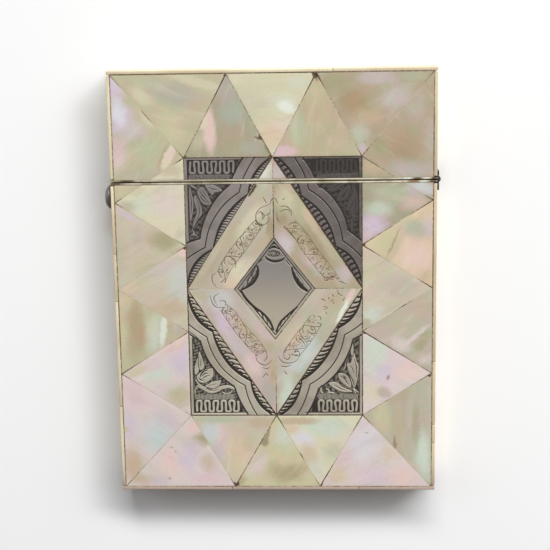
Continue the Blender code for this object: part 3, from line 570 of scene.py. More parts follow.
def engrave_corner(across, along, corner):
    """The depth of a corner plate's art: leaves, hatching, meander, bands and rope."""
    art = Engraving(across + WANDER * ripple(across, along, corner.seed, WANDER_LENGTH),
                    along + WANDER * ripple(across, along, corner.seed + 5, WANDER_LENGTH))
    field = [point for span in corner.lines["field"] for point in span]
    field += line_of((FIELD_TIP, FIELD_END), (FIELD_SIDE, FIELD_END), (FIELD_SIDE, FIELD_FOOT))
    art.sink(field, FIELD_DEPTH)
    art.depth *= 1.05 + UNEVEN * ripple(across, along, corner.seed + 9, UNEVEN_LENGTH)
    engrave_leaves(art, corner)
    engrave_hatching(art, corner)
    engrave_meander(art, corner)

    for span in corner.lines["field"]:
        art.cut(span, FIELD_LINE, LINE_DEPTH)
    for span in corner.lines["band"]:
        art.cut(span, BAND_LINE, LINE_DEPTH)
    borders = [line_of((FIELD_SIDE, BORDER_FOOT), (FIELD_SIDE, FIELD_END)),
               line_of((FIELD_SIDE, FIELD_END), (BORDER_TIP, FIELD_END))]
    if corner.doubled:
        borders.append(line_of(*DOUBLED_LINE))
    for border in borders:
        art.cut(border, BORDER_LINE, LINE_DEPTH)
    for spine in corner.lines["rope"]:
        art.cut(spine, corner.rope.recess, RECESS_DEPTH)
        for stroke in rope_strokes(spine, corner.rope):
            art.cut(stroke, corner.rope.stroke, LINE_DEPTH)
    edge = (1 - across / PANEL_X - along / PANEL_Y) / math.hypot(1 / PANEL_X, 1 / PANEL_Y)
    return np.maximum(art.depth, LINE_DEPTH * smooth_step((SLANT_LINE + edge) / SLANT_SOFTNESS))


# Cartouche

CARTOUCHE_LINE_INSET = 0.66
CARTOUCHE_WANDER, CARTOUCHE_WANDER_LENGTH = 0.05, 5.0
CARTOUCHE_LINE = 0.24
# The four bites in its sides: the path of each one's edge, and its widths along it
BITES = {
    "upper_left": ([(-4.2, 5.0), (-3.95, 4.0), (-4.2, 2.5), (-5.2, 0.9), (-6.5, -0.1), (-8.2, -0.9)],
                   (0.3, 0.44, 0.44, 0.3)),
    "upper_right": ([(4.3, 4.6), (4.6, 3.0), (5.3, 1.4), (6.5, -0.2), (7.9, -1.2)],
                    (0.3, 0.55, 0.66, 0.45)),
    "lower_left": ([(-8.2, -1.2), (-7.0, -3.2), (-5.2, -5.1), (-2.9, -6.9), (-1.3, -8.7), (-0.4, -11.0)],
                   (0.4, 0.5, 0.4, 0.3, 0.26)),
    "lower_right": ([(5.4, -5.3), (3.2, -7.2), (1.4, -9.0), (0.2, -11.4)], (0.3, 0.36, 0.36, 0.3))}
# How many strands fill each bite, and which way they lean, in degrees
BITE_STRANDS = {"upper_left": (4, 66), "upper_right": (4, -60), "lower_left": (6, -64),
                "lower_right": (5, 64)}
STRAND_LENGTH = 1.6        # the longest strand, and the longest as a share of its room
STRAND_REACH = 1.6
STRAND_PLACE, STRAND_BOW = 0.55, 0.1   # where a strand's middle is in its bite, and how it bows
STRAND_WIDTHS = (0.2, 0.5, 0.2)
STRAND_MARGIN = 0.9        # room at each end of a bite, in steps from strand to strand
BITE_EDGE = 1.25           # how much wider the bite's edge is cut than its widths say
BITE_GROUND_DEPTH = 0.11
CREST_DEPTH = 0.055
CREST_GROUND = [(-2.1, 7.4), (-1.5, 6.5), (0.0, 6.0), (1.6, 6.3), (2.7, 7.1), (1.7, 8.8), (0, 9.4),
                (-1.5, 8.8)]
CREST_TOP = [(-1.6, 8.9), (0.0, 9.5), (1.7, 8.9), (0.1, 11.0)]
CREST_RIDGES = [
    ([(-2.0, 7.7), (-1.5, 8.7), (-0.5, 9.2), (0.5, 9.15), (1.4, 8.6), (2.1, 7.7)], (0.25, 0.42, 0.25)),
    ([(-1.9, 7.6), (-0.9, 7.0), (0.5, 6.85), (1.6, 7.1), (2.3, 7.4)], (0.25, 0.42, 0.25)),
    ([(-1.0, 9.6), (0.0, 10.3), (0.9, 9.6)], (0.12, 0.24, 0.12))]
CREST_CUTS = [
    ([(-2.1, 7.35), (-1.5, 6.65), (0.0, 6.15), (1.6, 6.4), (2.6, 6.95)], (0.3, 0.52, 0.6, 0.52, 0.25)),
    ([(-1.3, 8.5), (-0.4, 8.75), (0.4, 8.6), (0.6, 8.0), (0.1, 7.5), (-0.6, 7.6), (-0.8, 8.0)], 0.24),
    ([(0.6, 8.5), (1.3, 8.3), (1.0, 7.7), (0.7, 7.5)], 0.24), ([(-1.5, 7.9), (-1.1, 7.5)], 0.24),
    ([(2.9, 6.4), (3.8, 5.2)], (0.3, 0.16)), ([(-3.7, 5.9), (-3.0, 6.7)], (0.16, 0.24))]


def cartouche_outline():
    """The diamond in the middle of the panel, to the middle of its joints."""
    return named("cartouche_bottom", "cartouche_right", "cartouche_top", "cartouche_left")


def engrave_cartouche(x, y):
    """The depth of the cartouche's art: a line near its edge, four bites and a crest."""
    art = Engraving(x + CARTOUCHE_WANDER * ripple(x, y, 71, CARTOUCHE_WANDER_LENGTH),
                    y + CARTOUCHE_WANDER * ripple(x, y, 72, CARTOUCHE_WANDER_LENGTH))
    line = inset(cartouche_outline(), CARTOUCHE_LINE_INSET)
    for name, (path, widths) in BITES.items():
        bite = smooth_path(path)
        art.sink(bite + [nearest_on(line, bite[-1]), nearest_on(line, bite[0])], BITE_GROUND_DEPTH)
        count, lean = BITE_STRANDS[name]
        reach = plane_point(math.cos(math.radians(lean)), math.sin(math.radians(lean)))
        for k in range(count):
            foot = point_along(bite, (k + STRAND_MARGIN) / (count + STRAND_MARGIN))
            edge = nearest_on(line, foot)
            middle = foot.lerp(edge, STRAND_PLACE)
            half = reach * min(STRAND_LENGTH, STRAND_REACH * (edge - foot).length) / 2
            art.ridge(arc(middle - half, middle + half, STRAND_BOW, steps=4), STRAND_WIDTHS)
        art.cut(bite, tuple(BITE_EDGE * width for width in widths), RECESS_DEPTH)
    art.sink(line_of(*CREST_GROUND), CREST_DEPTH)
    art.sink(line_of(*CREST_TOP), LINE_DEPTH)
    for path, widths in CREST_RIDGES:
        art.ridge(smooth_path(path), widths)
    for path, widths in CREST_CUTS:
        art.cut(smooth_path(path), widths, LINE_DEPTH)
    art.cut(line + line[:1], CARTOUCHE_LINE, LINE_DEPTH)
    return art.depth


# Scrolls on the pearl diamond

# Each limb's single curves, and the two lines between which its foliage winds
SCROLLS = {
    "bottom_left": dict(
        curves=[[(-15.8, -2.3), (-15.6, -3.5), (-15.0, -4.7), (-14.0, -5.3), (-12.3, -5.2)],
                [(-13.7, -1.8), (-14.8, -2.5), (-14.9, -3.3), (-14.2, -4.8)],
                [(-13.6, -3.7), (-12.7, -3.6), (-12.1, -4.0), (-12.3, -4.8)],
                [(-4.9, -16.5), (-4.8, -18.5), (-4.0, -19.5), (-2.8, -20.0), (-1.8, -19.6), (-1.0, -18.8)],
                [(-2.3, -16.8), (-2.2, -18.0), (-2.9, -19.0)],
                [(-3.3, -23.2), (-2.5, -22.0)], [(-2.5, -22.0), (-2.0, -22.8)],
                [(-3.4, -20.6), (-2.2, -20.9), (-1.6, -20.4)]],
        inner=[(-12.0, -4.5), (-9.8, -6.3), (-7.7, -9.5), (-4.6, -13.1), (-3.2, -15.0), (-2.2, -16.8)],
        outer=[(-13.4, -6.1), (-11.5, -9.1), (-9.6, -11.9), (-7.2, -15.0), (-6.0, -16.3), (-4.9, -17.7)]),
    "top_left": dict(
        curves=[[(-0.7, 20.2), (-1.9, 19.8), (-3.2, 19.2), (-4.2, 17.8), (-4.0, 15.9), (-2.4, 15.2),
                 (-1.1, 16.4), (-1.7, 18.1)],
                [(-3.0, 18.4), (-2.2, 17.4), (-2.9, 16.3)], [(-1.9, 17.4), (-1.0, 17.9), (-0.7, 18.8)],
                [(-3.9, 17.8), (-3.2, 18.4), (-2.7, 17.8), (-2.6, 16.6)],
                [(-0.8, 20.3), (-0.4, 21.3), (0.0, 21.8)], [(-2.5, 22.0), (-1.6, 20.4)],
                [(-3.6, 15.4), (-3.2, 15.2)],
                [(-9.6, 4.5), (-9.4, 5.8), (-10.4, 7.2), (-11.5, 7.5)],
                [(-12.0, 2.2), (-12.8, 1.2), (-13.2, 1.0)],
                [(-14.2, 3.3), (-15.1, 2.9), (-15.3, 1.8), (-15.0, 0.8), (-14.2, -0.3)]],
        inner=[(-12.2, 0.9), (-10.3, 4.7), (-7.7, 7.9), (-5.7, 10.6), (-3.4, 13.8), (-2.4, 15.2)],
        outer=[(-14.0, 3.6), (-12.4, 6.7), (-9.8, 10.2), (-7.7, 12.8), (-5.6, 15.2), (-4.4, 16.4)]),
    "bottom_right": dict(
        bays=3,
        curves=[[(0.6, -17.5), (0.9, -18.3), (1.9, -19.3), (3.4, -19.5), (4.8, -19.1), (5.6, -18.2)],
                [(1.9, -17.0), (2.1, -18.2), (3.0, -18.5), (3.5, -17.8), (3.1, -17.1)],
                [(1.9, -17.0), (2.5, -15.8), (3.5, -14.5)],
                [(1.2, -20.2), (2.5, -20.4), (3.8, -20.0)], [(2.0, -21.5), (2.8, -22.5)],
                [(5.8, -13.4), (6.8, -14.0), (7.2, -15.0)], [(14.2, -4.6), (14.5, -4.1)],
                [(11.2, -3.3), (11.8, -3.4), (12.4, -3.9)], [(12.4, -6.5), (12.7, -7.1)],
                [(11.8, -5.2), (12.5, -5.3), (13.0, -5.9)], [(12.2, -5.6), (12.3, -6.2)],
                [(9.3, -7.2), (9.8, -8.1)], [(10.3, -7.6), (11.1, -7.9), (11.2, -8.7)],
                [(13.6, -4.0), (14.4, -3.4)], [(14.0, -2.0), (14.4, -2.8)],
                [(15.2, -0.9), (15.6, -2.0), (16.6, -2.6)], [(17.1, -2.9), (16.6, -3.9)],
                [(13.2, -2.8), (13.1, -3.4)]],
        inner=[(2.0, -16.8), (3.5, -14.3), (5.2, -12.0), (7.0, -9.8), (8.8, -7.4)],
        outer=[(5.5, -18.1), (7.2, -16.0), (8.5, -14.4), (9.9, -12.2), (11.4, -9.6)]),
    "top_right": dict(
        curves=[[(1.6, 19.6), (2.8, 19.7), (3.7, 19.2), (4.3, 18.3), (4.3, 17.4)],
                [(1.6, 18.3), (2.5, 18.8), (3.5, 18.8), (4.0, 18.2)],
                [(0.8, 18.2), (0.9, 16.5), (1.5, 15.8)], [(0.0, 21.8), (0.6, 21.4), (1.1, 20.3)],
                [(2.2, 21.2), (2.8, 21.6)], [(2.4, 14.8), (3.8, 13.5), (5.3, 11.6)],
                [(12.0, 2.0), (12.3, 1.4), (13.0, 1.4), (13.2, 1.9)],
                [(15.6, 1.2), (16.4, 0.9), (17.4, 0.4)]],
        inner=[(2.3, 14.6), (5.0, 11.8), (7.0, 8.5), (9.3, 5.5), (11.6, 2.6), (13.0, 1.4)],
        outer=[(5.2, 16.2), (7.7, 13.4), (10.0, 9.9), (12.3, 6.8), (14.6, 3.6), (15.8, 1.6)])}


LEAF_BAYS = 5
SCROLL_ENDS = 0.1          # width of a scroll's two ends
LINE_SHARE = 0.75          # depth of the foliage's two lines, as a share of the scrolls'
BAY_WANDER, BAY_SWAY = 0.03, 0.05
LEAF_STRENGTHS = (0.7, 1.1)
# One bay of the foliage, along the band (first) and across it (second), each from 0 to 1
LEAF_MOTIF = [
    ([(0.0, 0.1), (0.16, 0.04), (0.36, 0.2), (0.55, 0.62), (0.78, 0.94), (1.0, 0.9)], 1.2),
    ([(0.1, 0.4), (0.12, 0.72), (0.28, 0.94), (0.46, 0.84), (0.48, 0.6), (0.36, 0.52), (0.3, 0.66)], 1.2),
    ([(0.02, 0.5), (0.05, 0.78), (0.14, 1.0)], 0.9),
    ([(0.44, 0.18), (0.6, 0.02), (0.8, 0.06)], 1.0), ([(0.52, 0.36), (0.7, 0.2), (0.9, 0.28)], 1.2),
    ([(0.62, 0.54), (0.8, 0.42), (0.97, 0.5)], 1.0), ([(0.56, 0.2), (0.64, 0.14)], 1.9),
    ([(0.64, 0.36), (0.74, 0.31)], 1.8), ([(0.36, 0.62), (0.4, 0.7)], 2.0),
    ([(0.84, 0.74), (0.92, 0.78)], 1.8), ([(0.14, 0.76), (0.2, 0.86)], 1.8)]


def leafage(inner, outer, bays, seed):
    """Scrolled foliage between two lines: a winding stem, with a curl and leaves in each bay."""
    chance = np.random.default_rng(seed)
    strokes = []
    for bay in range(bays):
        for motif, strength in LEAF_MOTIF:
            path = []
            for along, across in motif:
                along += chance.uniform(-BAY_WANDER, BAY_WANDER)
                across += chance.uniform(-BAY_SWAY, BAY_SWAY)
                share = (bay + along) / bays
                if bay % 2:
                    across = 1 - across
                path.append(point_along(inner, share).lerp(point_along(outer, share), across))
            strokes.append((smooth_path(path, 4), strength * chance.uniform(*LEAF_STRENGTHS)))
    return strokes


def engrave_scrolls(x, y, name, seed):
    """Fine brown scrolls cut into one limb of the pearl diamond."""
    art = Engraving(x, y)
    plan = SCROLLS[name]
    inner, outer = smooth_path(plan["inner"], 8), smooth_path(plan["outer"], 8)
    for path in plan["curves"]:
        art.cut(smooth_path(path), (SCROLL_ENDS, SCROLL_WIDTH, SCROLL_ENDS), SCROLL_DEPTH)
    for line in (inner, outer):
        art.cut(line, LEAF_WIDTH, SCROLL_DEPTH * LINE_SHARE)
    for path, strength in leafage(inner, outer, plan.get("bays", LEAF_BAYS), seed):
        art.cut(path, LEAF_WIDTH, LEAF_DEPTH * strength)
    return art.depth


# The mosaic's layout, to the middle of each joint

def side_tiles(outer, inner):
    """Triangles that fill the band between two rows of points, in their order along it."""
    tiles = []
    for k in range(len(outer) - 1):
        tiles.append([outer[k], outer[k + 1], inner[k]])
        if k < len(inner) - 1:
            tiles.append([inner[k], inner[k + 1], outer[k + 1]])
    return [anticlockwise(tile) for tile in tiles]


def mosaic_points():
    """The mosaic's corner points by name."""
    third, half = PANEL_Y / 3, PANEL_X / 2
    points = {}
    for end, edge, panel in (("top", PEARL_Y, PANEL_HIGH), ("bottom", -PEARL_Y, PANEL_LOW)):
        points[f"{end}_1"], points[f"{end}_2"] = (-half, edge), (half, edge)
        points[f"panel_{end}"] = (0, panel)
        points[f"cartouche_{end}"] = (0, PANEL_MIDDLE + SIGNS[end] * CARTOUCHE_Y)
        for side in ("left", "right"):
            points[f"corner_{end}_{side}"] = (SIGNS[side] * PEARL_X, edge)
            points[f"panel_{end}_{side}"] = (SIGNS[side] * PANEL_X, panel)
    for side in ("left", "right"):
        for k, step in enumerate((2, 0, -2), 1):
            points[f"{side}_{k}"] = (SIGNS[side] * PEARL_X, PANEL_MIDDLE + step * third)
        for k, step in enumerate((1, -1), 1):
            points[f"panel_{side}_{k}"] = (SIGNS[side] * PANEL_X, PANEL_MIDDLE + step * third)
        points[f"panel_{side}"] = (SIGNS[side] * PANEL_X, PANEL_MIDDLE)
        points[f"cartouche_{side}"] = (SIGNS[side] * CARTOUCHE_X, PANEL_MIDDLE)
    return {name: plane_point(*place) for name, place in points.items()}


POINTS = mosaic_points()


def named(*names):
    return [POINTS[name] for name in names]


def border_row(row):
    """The names of the points along one row of the border: its outer edge's, and the panel's."""
    if row in ("top", "bottom"):
        return ((f"corner_{row}_left", f"{row}_1", f"{row}_2", f"corner_{row}_right"),
                (f"panel_{row}_left", f"panel_{row}", f"panel_{row}_right"))
    return ((f"corner_top_{row}", f"{row}_1", f"{row}_2", f"{row}_3", f"corner_bottom_{row}"),
            (f"panel_top_{row}", f"panel_{row}_1", f"panel_{row}_2", f"panel_bottom_{row}"))


def mosaic_tiles():
    """Every tile of the pearl border, by its CAD name."""
    tiles = {}
    for row in ("top", "bottom", "left", "right"):
        outer, inner = border_row(row)
        for index, tile in enumerate(side_tiles(named(*outer), named(*inner)), 1):
            tiles[f"tile_{row}_{index}"] = tile
    return tiles


def row_joints(row):
    """The joints across one row of the border, from its first corner's to its last corner's."""
    outer, inner = border_row(row)
    return [(outer[k + step], point) for k, point in enumerate(inner) for step in (0, 1)]


def border_joints():
    """The joints across the border: along the top, down the left, along the bottom, up the right.

    Those that end at a corner are the top's and the bottom's, and the sides leave them out.
    """
    return (row_joints("top") + row_joints("left")[1:-1] + row_joints("bottom")
            + row_joints("right")[-2:0:-1])


def panel_quarters(kind):
    """The four engraved corners, or the four limbs of the pearl diamond, by their CAD names."""
    quarters = {}
    for end in ("top", "bottom"):
        for side in ("left", "right"):
            if kind == "metal_corner":
                outline = named(f"panel_{side}", f"panel_{end}_{side}", f"panel_{end}")
            else:
                outline = named(f"panel_{side}", f"panel_{end}", f"cartouche_{end}", f"cartouche_{side}")
            quarters[f"{kind}_{end}_{side}"] = anticlockwise(outline)
    return quarters


# Meshes

SHEET_EDGE = 0.02          # how much larger a sheet is made than its outline, to be cut to it
SHEET_NEAR = 1e-4          # a cut as near as this to a sheet's corner goes through it, in millimetres
SOLID_NEAR = 1e-7          # and to a solid's corner, in metres; corners as near as this are one
FLAT_ANGLE = 0.5           # degrees; faces that meet at less are one
SHARP_ANGLE, SMOOTH_ANGLE = 35, 40     # edges are rounded above the first, and smooth below the second


def add_object(name, data):
    """Puts a mesh, light or camera into the scene."""
    added = bpy.data.objects.new(name, data)
    bpy.context.scene.collection.objects.link(added)
    return added


def finish_mesh(name, bm, materials, body, nodes):
    """Makes the object from its mesh in metres, gives it its finish and sets it on its body."""
    bmesh.ops.recalc_face_normals(bm, faces=bm.faces)
    mesh = bpy.data.meshes.new(name)
    bm.to_mesh(mesh)
    bm.free()
    for material in materials if isinstance(materials, list) else [materials]:
        mesh.materials.append(material)
    piece = add_object(name, mesh)
    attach(piece, body)
    if nodes:
        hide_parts(*nodes)


def top_sheet(outline, spacing):
    """An even grid of faces, cut to a convex outline."""
    across = [point.x for point in outline]
    along = [point.y for point in outline]
    width, length = max(across) - min(across), max(along) - min(along)
    bm = bmesh.new()
    bmesh.ops.create_grid(bm, x_segments=math.ceil(width / spacing),
                          y_segments=math.ceil(length / spacing), size=0.5)
    place = Matrix.Translation(((max(across) + min(across)) / 2, (max(along) + min(along)) / 2, 0))
    stretch = Matrix.Diagonal((width + SHEET_EDGE, length + SHEET_EDGE, 1, 1))
    bmesh.ops.transform(bm, verts=bm.verts, matrix=place @ stretch)
    for a, b in zip(outline, outline[1:] + outline[:1]):
        edge = b - a
        bmesh.ops.bisect_plane(
            bm, geom=bm.verts[:] + bm.edges[:] + bm.faces[:], dist=SHEET_NEAR,
            plane_co=(a.x, a.y, 0), plane_no=(edge.y, -edge.x, 0), clear_outer=True)
    return bm


def close_below(bm, foot):
    """Closes a sheet into a body, with upright walls down to a flat foot."""
    rim = [edge for edge in bm.edges if edge.is_boundary]
    for edge in rim:
        edge.smooth = False
    walls = bmesh.ops.extrude_edge_only(bm, edges=rim)["geom"]
    for vert in walls:
        if isinstance(vert, bmesh.types.BMVert):
            vert.co.z = foot
    lower = [edge for edge in walls if isinstance(edge, bmesh.types.BMEdge) and edge.is_boundary]
    bmesh.ops.edgeloop_fill(bm, edges=lower)


def carved_sheet(outline, spacing, depth_at, face, foot, smooth):
    """A closed plate over a convex outline, in millimetres, its face lowered by depth_at(x, y)."""
    bm = top_sheet(outline, spacing)
    places = np.array([vert.co for vert in bm.verts])
    side = 1 if face > foot else -1
    for vert, depth in zip(bm.verts, depth_at(places[:, 0], places[:, 1])):
        vert.co.z = face - side * float(depth)
    for polygon in bm.faces:
        polygon.smooth = smooth
    close_below(bm, foot)
    return bm


def carved_plates(name, outline, ending, spacing, face_of, material):
    """A plate of the front, and its share on the lid where the seam cuts it.

    Each share stands for the CAD node of its own. face_of gives a share's depths as depth_at(x, y).
    """
    for body, share in shares_of(inset(outline, TILE_GAP)):
        node = name if body == "body" or name.startswith("tile_top") else f"{name}_lid"
        bm = carved_sheet(share, spacing, face_of(share), FRONT, TILE_FOOT, smooth=True)
        bmesh.ops.transform(bm, verts=bm.verts, matrix=Matrix.Scale(MM, 4))
        finish_mesh(f"{node}_{ending}", bm, material, body, [node])


def worn_face(outline, seed, chips=()):
    """Depths of a slightly uneven tile with rubbed edges, and with chips at (x, y, radius)."""
    def depth_at(x, y):
        edge = distance_inside(outline, x, y)
        depth = TILE_WAVE * (1 + ripple(x, y, seed, TILE_WAVE_LENGTH)) / 2
        depth = depth + EDGE_WEAR * (1 - smooth_step(edge / EDGE_WEAR_WIDTH))
        for chip_x, chip_y, radius in chips:
            ragged = 1 + CHIP_RAGGED * ripple(x, y, seed + 3, CHIP_RAGGED_LENGTH)
            reach = np.hypot(x - chip_x, y - chip_y) * ragged
            depth = depth + CHIP_DEPTH * (1 - smooth_step(reach / radius))
        return depth
    return depth_at


def engraved_face(outline, art):
    """Depths of an engraved plate, with its edges rubbed too."""
    def depth_at(x, y):
        edge = distance_inside(outline, x, y)
        return np.maximum(art(x, y), EDGE_WEAR * (1 - smooth_step(edge / PLATE_WEAR_WIDTH)))
    return depth_at


def add_mesh(whole, bm):
    """Adds a part to a larger mesh, and frees it."""
    part = bpy.data.meshes.new("part")
    bm.to_mesh(part)
    bm.free()
    whole.from_mesh(part)
    bpy.data.meshes.remove(part)


def shade_smooth(bm):
    """Shades a mesh smooth, but for its sharp edges."""
    for polygon in bm.faces:
        polygon.smooth = True
    for edge in bm.edges:
        edge.smooth = edge.calc_face_angle(0) < math.radians(SMOOTH_ANGLE)


def copy_of_node(node):
    """A CAD node's solid as an editable mesh, its flat faces whole."""
    bm = bmesh.new()
    bm.from_mesh(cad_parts[node].data)
    bmesh.ops.remove_doubles(bm, verts=bm.verts, dist=SOLID_NEAR)
    bmesh.ops.dissolve_limit(bm, angle_limit=math.radians(FLAT_ANGLE), verts=bm.verts, edges=bm.edges)
    return bm


def soften(bm, width, segments=2):
    """Rounds the sharp edges, and shades the rest smooth."""
    sharp = [edge for edge in bm.edges
             if edge.is_manifold and edge.calc_face_angle(0) > math.radians(SHARP_ANGLE)]
    bmesh.ops.bevel(bm, geom=sharp, offset=width * MM, segments=segments, profile=0.5,
                    affect="EDGES", clamp_overlap=True)
    shade_smooth(bm)


# Materials

def srgb(red, green, blue):
    """A linear colour from 8-bit display values."""
    channels = [value / 255 for value in (red, green, blue)]
    return [value / 12.92 if value <= 0.04045 else ((value + 0.055) / 1.055) ** 2.4
            for value in channels]


class Surface:
    """A Principled material, with short calls for the nodes that feed it.

    A colour is a socket, a linear colour or a name in the palette.
    """

    def __init__(self, name, roughness, metallic=0.0):
        self.material = bpy.data.materials.new(name)
        self.material.use_nodes = True
        self.tree = self.material.node_tree
        self.shader = self.tree.nodes["Principled BSDF"]
        self.set(Roughness=roughness, Metallic=metallic)
        coordinates = self.tree.nodes.new("ShaderNodeTexCoord").outputs["Object"]
        self.place = self.vector("MULTIPLY", coordinates, (1 / MM,) * 3)

    def set(self, **values):
        for name, value in values.items():
            self.shader.inputs[name.replace("_", " ")].default_value = value

    def feed(self, **sockets):
        for name, socket in sockets.items():
            self.tree.links.new(socket, self.shader.inputs[name.replace("_", " ")])

    def node(self, kind, inputs=None, **settings):
        node = self.tree.nodes.new(kind)
        for name, value in settings.items():
            setattr(node, name, value)
        for name, value in (inputs or {}).items():
            if isinstance(value, bpy.types.NodeSocket):
                self.tree.links.new(value, node.inputs[name])
            else:
                node.inputs[name].default_value = value
        return node

    def number(self, operation, first, second, **settings):
        return self.node("ShaderNodeMath", {0: first, 1: second}, operation=operation,
                         **settings).outputs[0]

    def vector(self, operation, first, second):
        return self.node("ShaderNodeVectorMath", {0: first, 1: second}, operation=operation).outputs[0]

    def along(self, axis):
        """The place's X, Y or Z."""
        return self.node("ShaderNodeSeparateXYZ", {0: self.place}).outputs[axis]

    def stretched(self, *scale):
        return self.vector("MULTIPLY", self.place, scale)

    def turned(self, degrees, scale):
        """The place turned about Z and then stretched, for grain and streaks."""
        spun = self.node("ShaderNodeMapping", {
            "Vector": self.place, "Rotation": (0, 0, math.radians(-degrees))}).outputs[0]
        return self.vector("MULTIPLY", spun, scale)

    def shifted(self, scale, detail, roughness, reach):
        """The place, shifted along the face by a noise, by half the reach at most."""
        noise = self.noise(scale, detail, roughness, colour=True)
        offset = self.vector("SUBTRACT", noise, (0.5, 0.5, 0.5))
        return self.vector("ADD", self.place, self.vector("MULTIPLY", offset, (reach, reach, 0)))

    def noise(self, scale, detail=3.0, roughness=0.5, distortion=0.0, place=None, colour=False):
        node = self.node("ShaderNodeTexNoise", {
            "Vector": place or self.place, "Scale": scale, "Detail": detail,
            "Roughness": roughness, "Distortion": distortion})
        return node.outputs["Color" if colour else "Fac"]

    def ramp(self, value, start, end, low=0.0, high=1.0):
        """The value's even rise from low at start to high at end."""
        return self.node("ShaderNodeMapRange", {
            "Value": value, "From Min": start, "From Max": end, "To Min": low, "To Max": high},
            interpolation_type="SMOOTHSTEP").outputs[0]

    def by_depth(self, depths, deep=1.0, shallow=0.0):
        """The even change from deep at the first depth below the front to shallow at the second."""
        return self.ramp(self.along("Z"), FRONT - depths[0], FRONT - depths[1], deep, shallow)

    def mix(self, first, second, factor, blend="MIX"):
        colours = [value if isinstance(value, bpy.types.NodeSocket) else (*linear(value), 1)
                   for value in (first, second)]
        return self.node("ShaderNodeMix", {0: factor, 6: colours[0], 7: colours[1]},
                         data_type="RGBA", blend_type=blend).outputs[2]

    def lay(self, colour, tint, value, start, end, strength):
        """Lays a tint over a colour, up to a strength, as the value goes from start to end."""
        return self.mix(colour, tint, self.ramp(value, start, end, 0.0, strength))

    def bump(self, height, strength, distance):
        self.feed(Normal=self.node("ShaderNodeBump", {
            "Height": height, "Strength": strength, "Distance": distance * MM}).outputs[0])


PALETTE = {name: srgb(*value) for name, value in {
    "lavender": (214, 196, 214), "lilac": (208, 194, 200), "pink": (226, 194, 200),
    "rose": (234, 204, 196), "cream": (222, 214, 186), "khaki": (194, 186, 158),
    "olive": (168, 162, 128), "tan": (198, 178, 150), "peach": (222, 198, 170),
    "mint": (206, 218, 202), "green": (188, 192, 166), "teal": (174, 180, 166),
    "white": (232, 236, 222), "grey": (180, 175, 164), "blue": (204, 212, 212),
    "brown": (176, 150, 120), "straw": (208, 199, 164), "blush": (222, 206, 203),
    "ivory": (213, 208, 178), "dove": (172, 164, 142), "linen": (206, 194, 174),
    "sand": (190, 177, 150), "shell": (196, 181, 173), "oat": (191, 182, 165),
    "biscuit": (178, 165, 141), "fawn": (170, 154, 124), "dusk": (190, 178, 176),
    "frost": (224, 222, 230), "grime": (84, 70, 52), "smear": (152, 138, 112),
    "stain": (188, 164, 132), "rust": (150, 112, 78),
    "pearl pink": (228, 196, 206), "pearl green": (190, 214, 186), "growth line": (120, 108, 84),
    "light streak": (246, 240, 222), "dark streak": (150, 142, 120), "scroll": (112, 92, 74),
    "faint joint": (202, 190, 166), "brown joint": (110, 88, 65), "black joint": (52, 42, 30),
    "plate scratch": (220, 216, 204), "plate cut": (44, 38, 32),
    "bone": (230, 217, 186), "yellow bone": (214, 196, 164), "worn bone": (204, 180, 146),
    "dusky bone": (190, 166, 150), "bone grain": (168, 140, 100), "bone pore": (104, 82, 56),
    "rim cream": (226, 218, 196), "rim olive": (214, 206, 180), "rim tan": (182, 170, 142),
    "hinge": (84, 78, 80), "hinge shade": (52, 46, 46), "button": (138, 130, 132),
    "button shade": (100, 94, 90), "wood": (122, 78, 46), "wood ring": (72, 42, 26),
    "wood pore": (40, 24, 16)}.items()}
MARKS = ("grime", "smear", "stain", "rust")
SMALL_CLOUD = 1.6          # clouds up to this half width are crisper than the rest
CLOUD_CORE, SMALL_CLOUD_CORE, CLOUD_EDGE = 0.25, 0.55, 1.45     # as shares of a cloud's half width
# Depths below the front: at the first of two a surface is wholly of its sunk colour, and at the
# second not at all
DIRTY_DEPTHS = (0.075, 0.025)
SUNK_DEPTHS = (0.07, 0.015)
CUT_DEPTHS = (0.125, 0.08)
ALL_DEPTHS = 1000          # a cloud that reaches this far down is as wide at every depth


def linear(colour):
    """A linear colour, from itself or from its name in the palette."""
    return PALETTE[colour] if isinstance(colour, str) else colour


def is_broad(cloud):
    """Whether a cloud is a drift of colour under the streaks, and not a mark or painted highlight on top
    of them.
    """
    _, _, half_width, half_length, _, tint, _ = cloud
    return tint not in MARKS and min(half_width, half_length) > SMALL_CLOUD


def pearl(name, base, grain, clouds=(), drifts=()):
    """Polished mother-of-pearl. Each cloud is (x, y, half width, half length, turn, colour, strength).

    The back's pearl has drifts of other tints instead of clouds, and no engraving to darken.
    """
    surface = Surface(name, 0.3)
    wandered, frayed = surface.shifted(0.16, 3, 0.55, 4.2), frayed_place(surface)
    colour = base
    for cloud in filter(is_broad, clouds):
        colour = add_cloud(surface, colour, wandered, cloud, CLOUD_CORE)
    for k, tint in enumerate(drifts):
        place = surface.node("ShaderNodeMapping", {
            "Vector": surface.place, "Location": (37 * (k + 1) + 3 * grain, 11 * k, 0)}).outputs[0]
        colour = surface.lay(colour, tint, surface.noise(0.11, 2, 0.5, 0.8, place), 0.48, 0.62, 0.8)
    colour = nacre(surface, colour, wandered, grain)
    for cloud in clouds:
        if not is_broad(cloud):
            colour = add_cloud(surface, colour, frayed, cloud, SMALL_CLOUD_CORE)
    if not drifts:
        colour = surface.mix(colour, "scroll", surface.by_depth(DIRTY_DEPTHS))
    surface.feed(Base_Color=colour)
    surface.set(Coat_Weight=0.35, Coat_Roughness=0.16, IOR=1.53, Thin_Film_Thickness=380.0,
                Thin_Film_IOR=1.38)
    return surface.material


def frayed_place(surface):
    """The place on the surface, shifted a little so that a small cloud has a ragged edge."""
    return surface.shifted(0.7, 4, 0.6, 1.3)


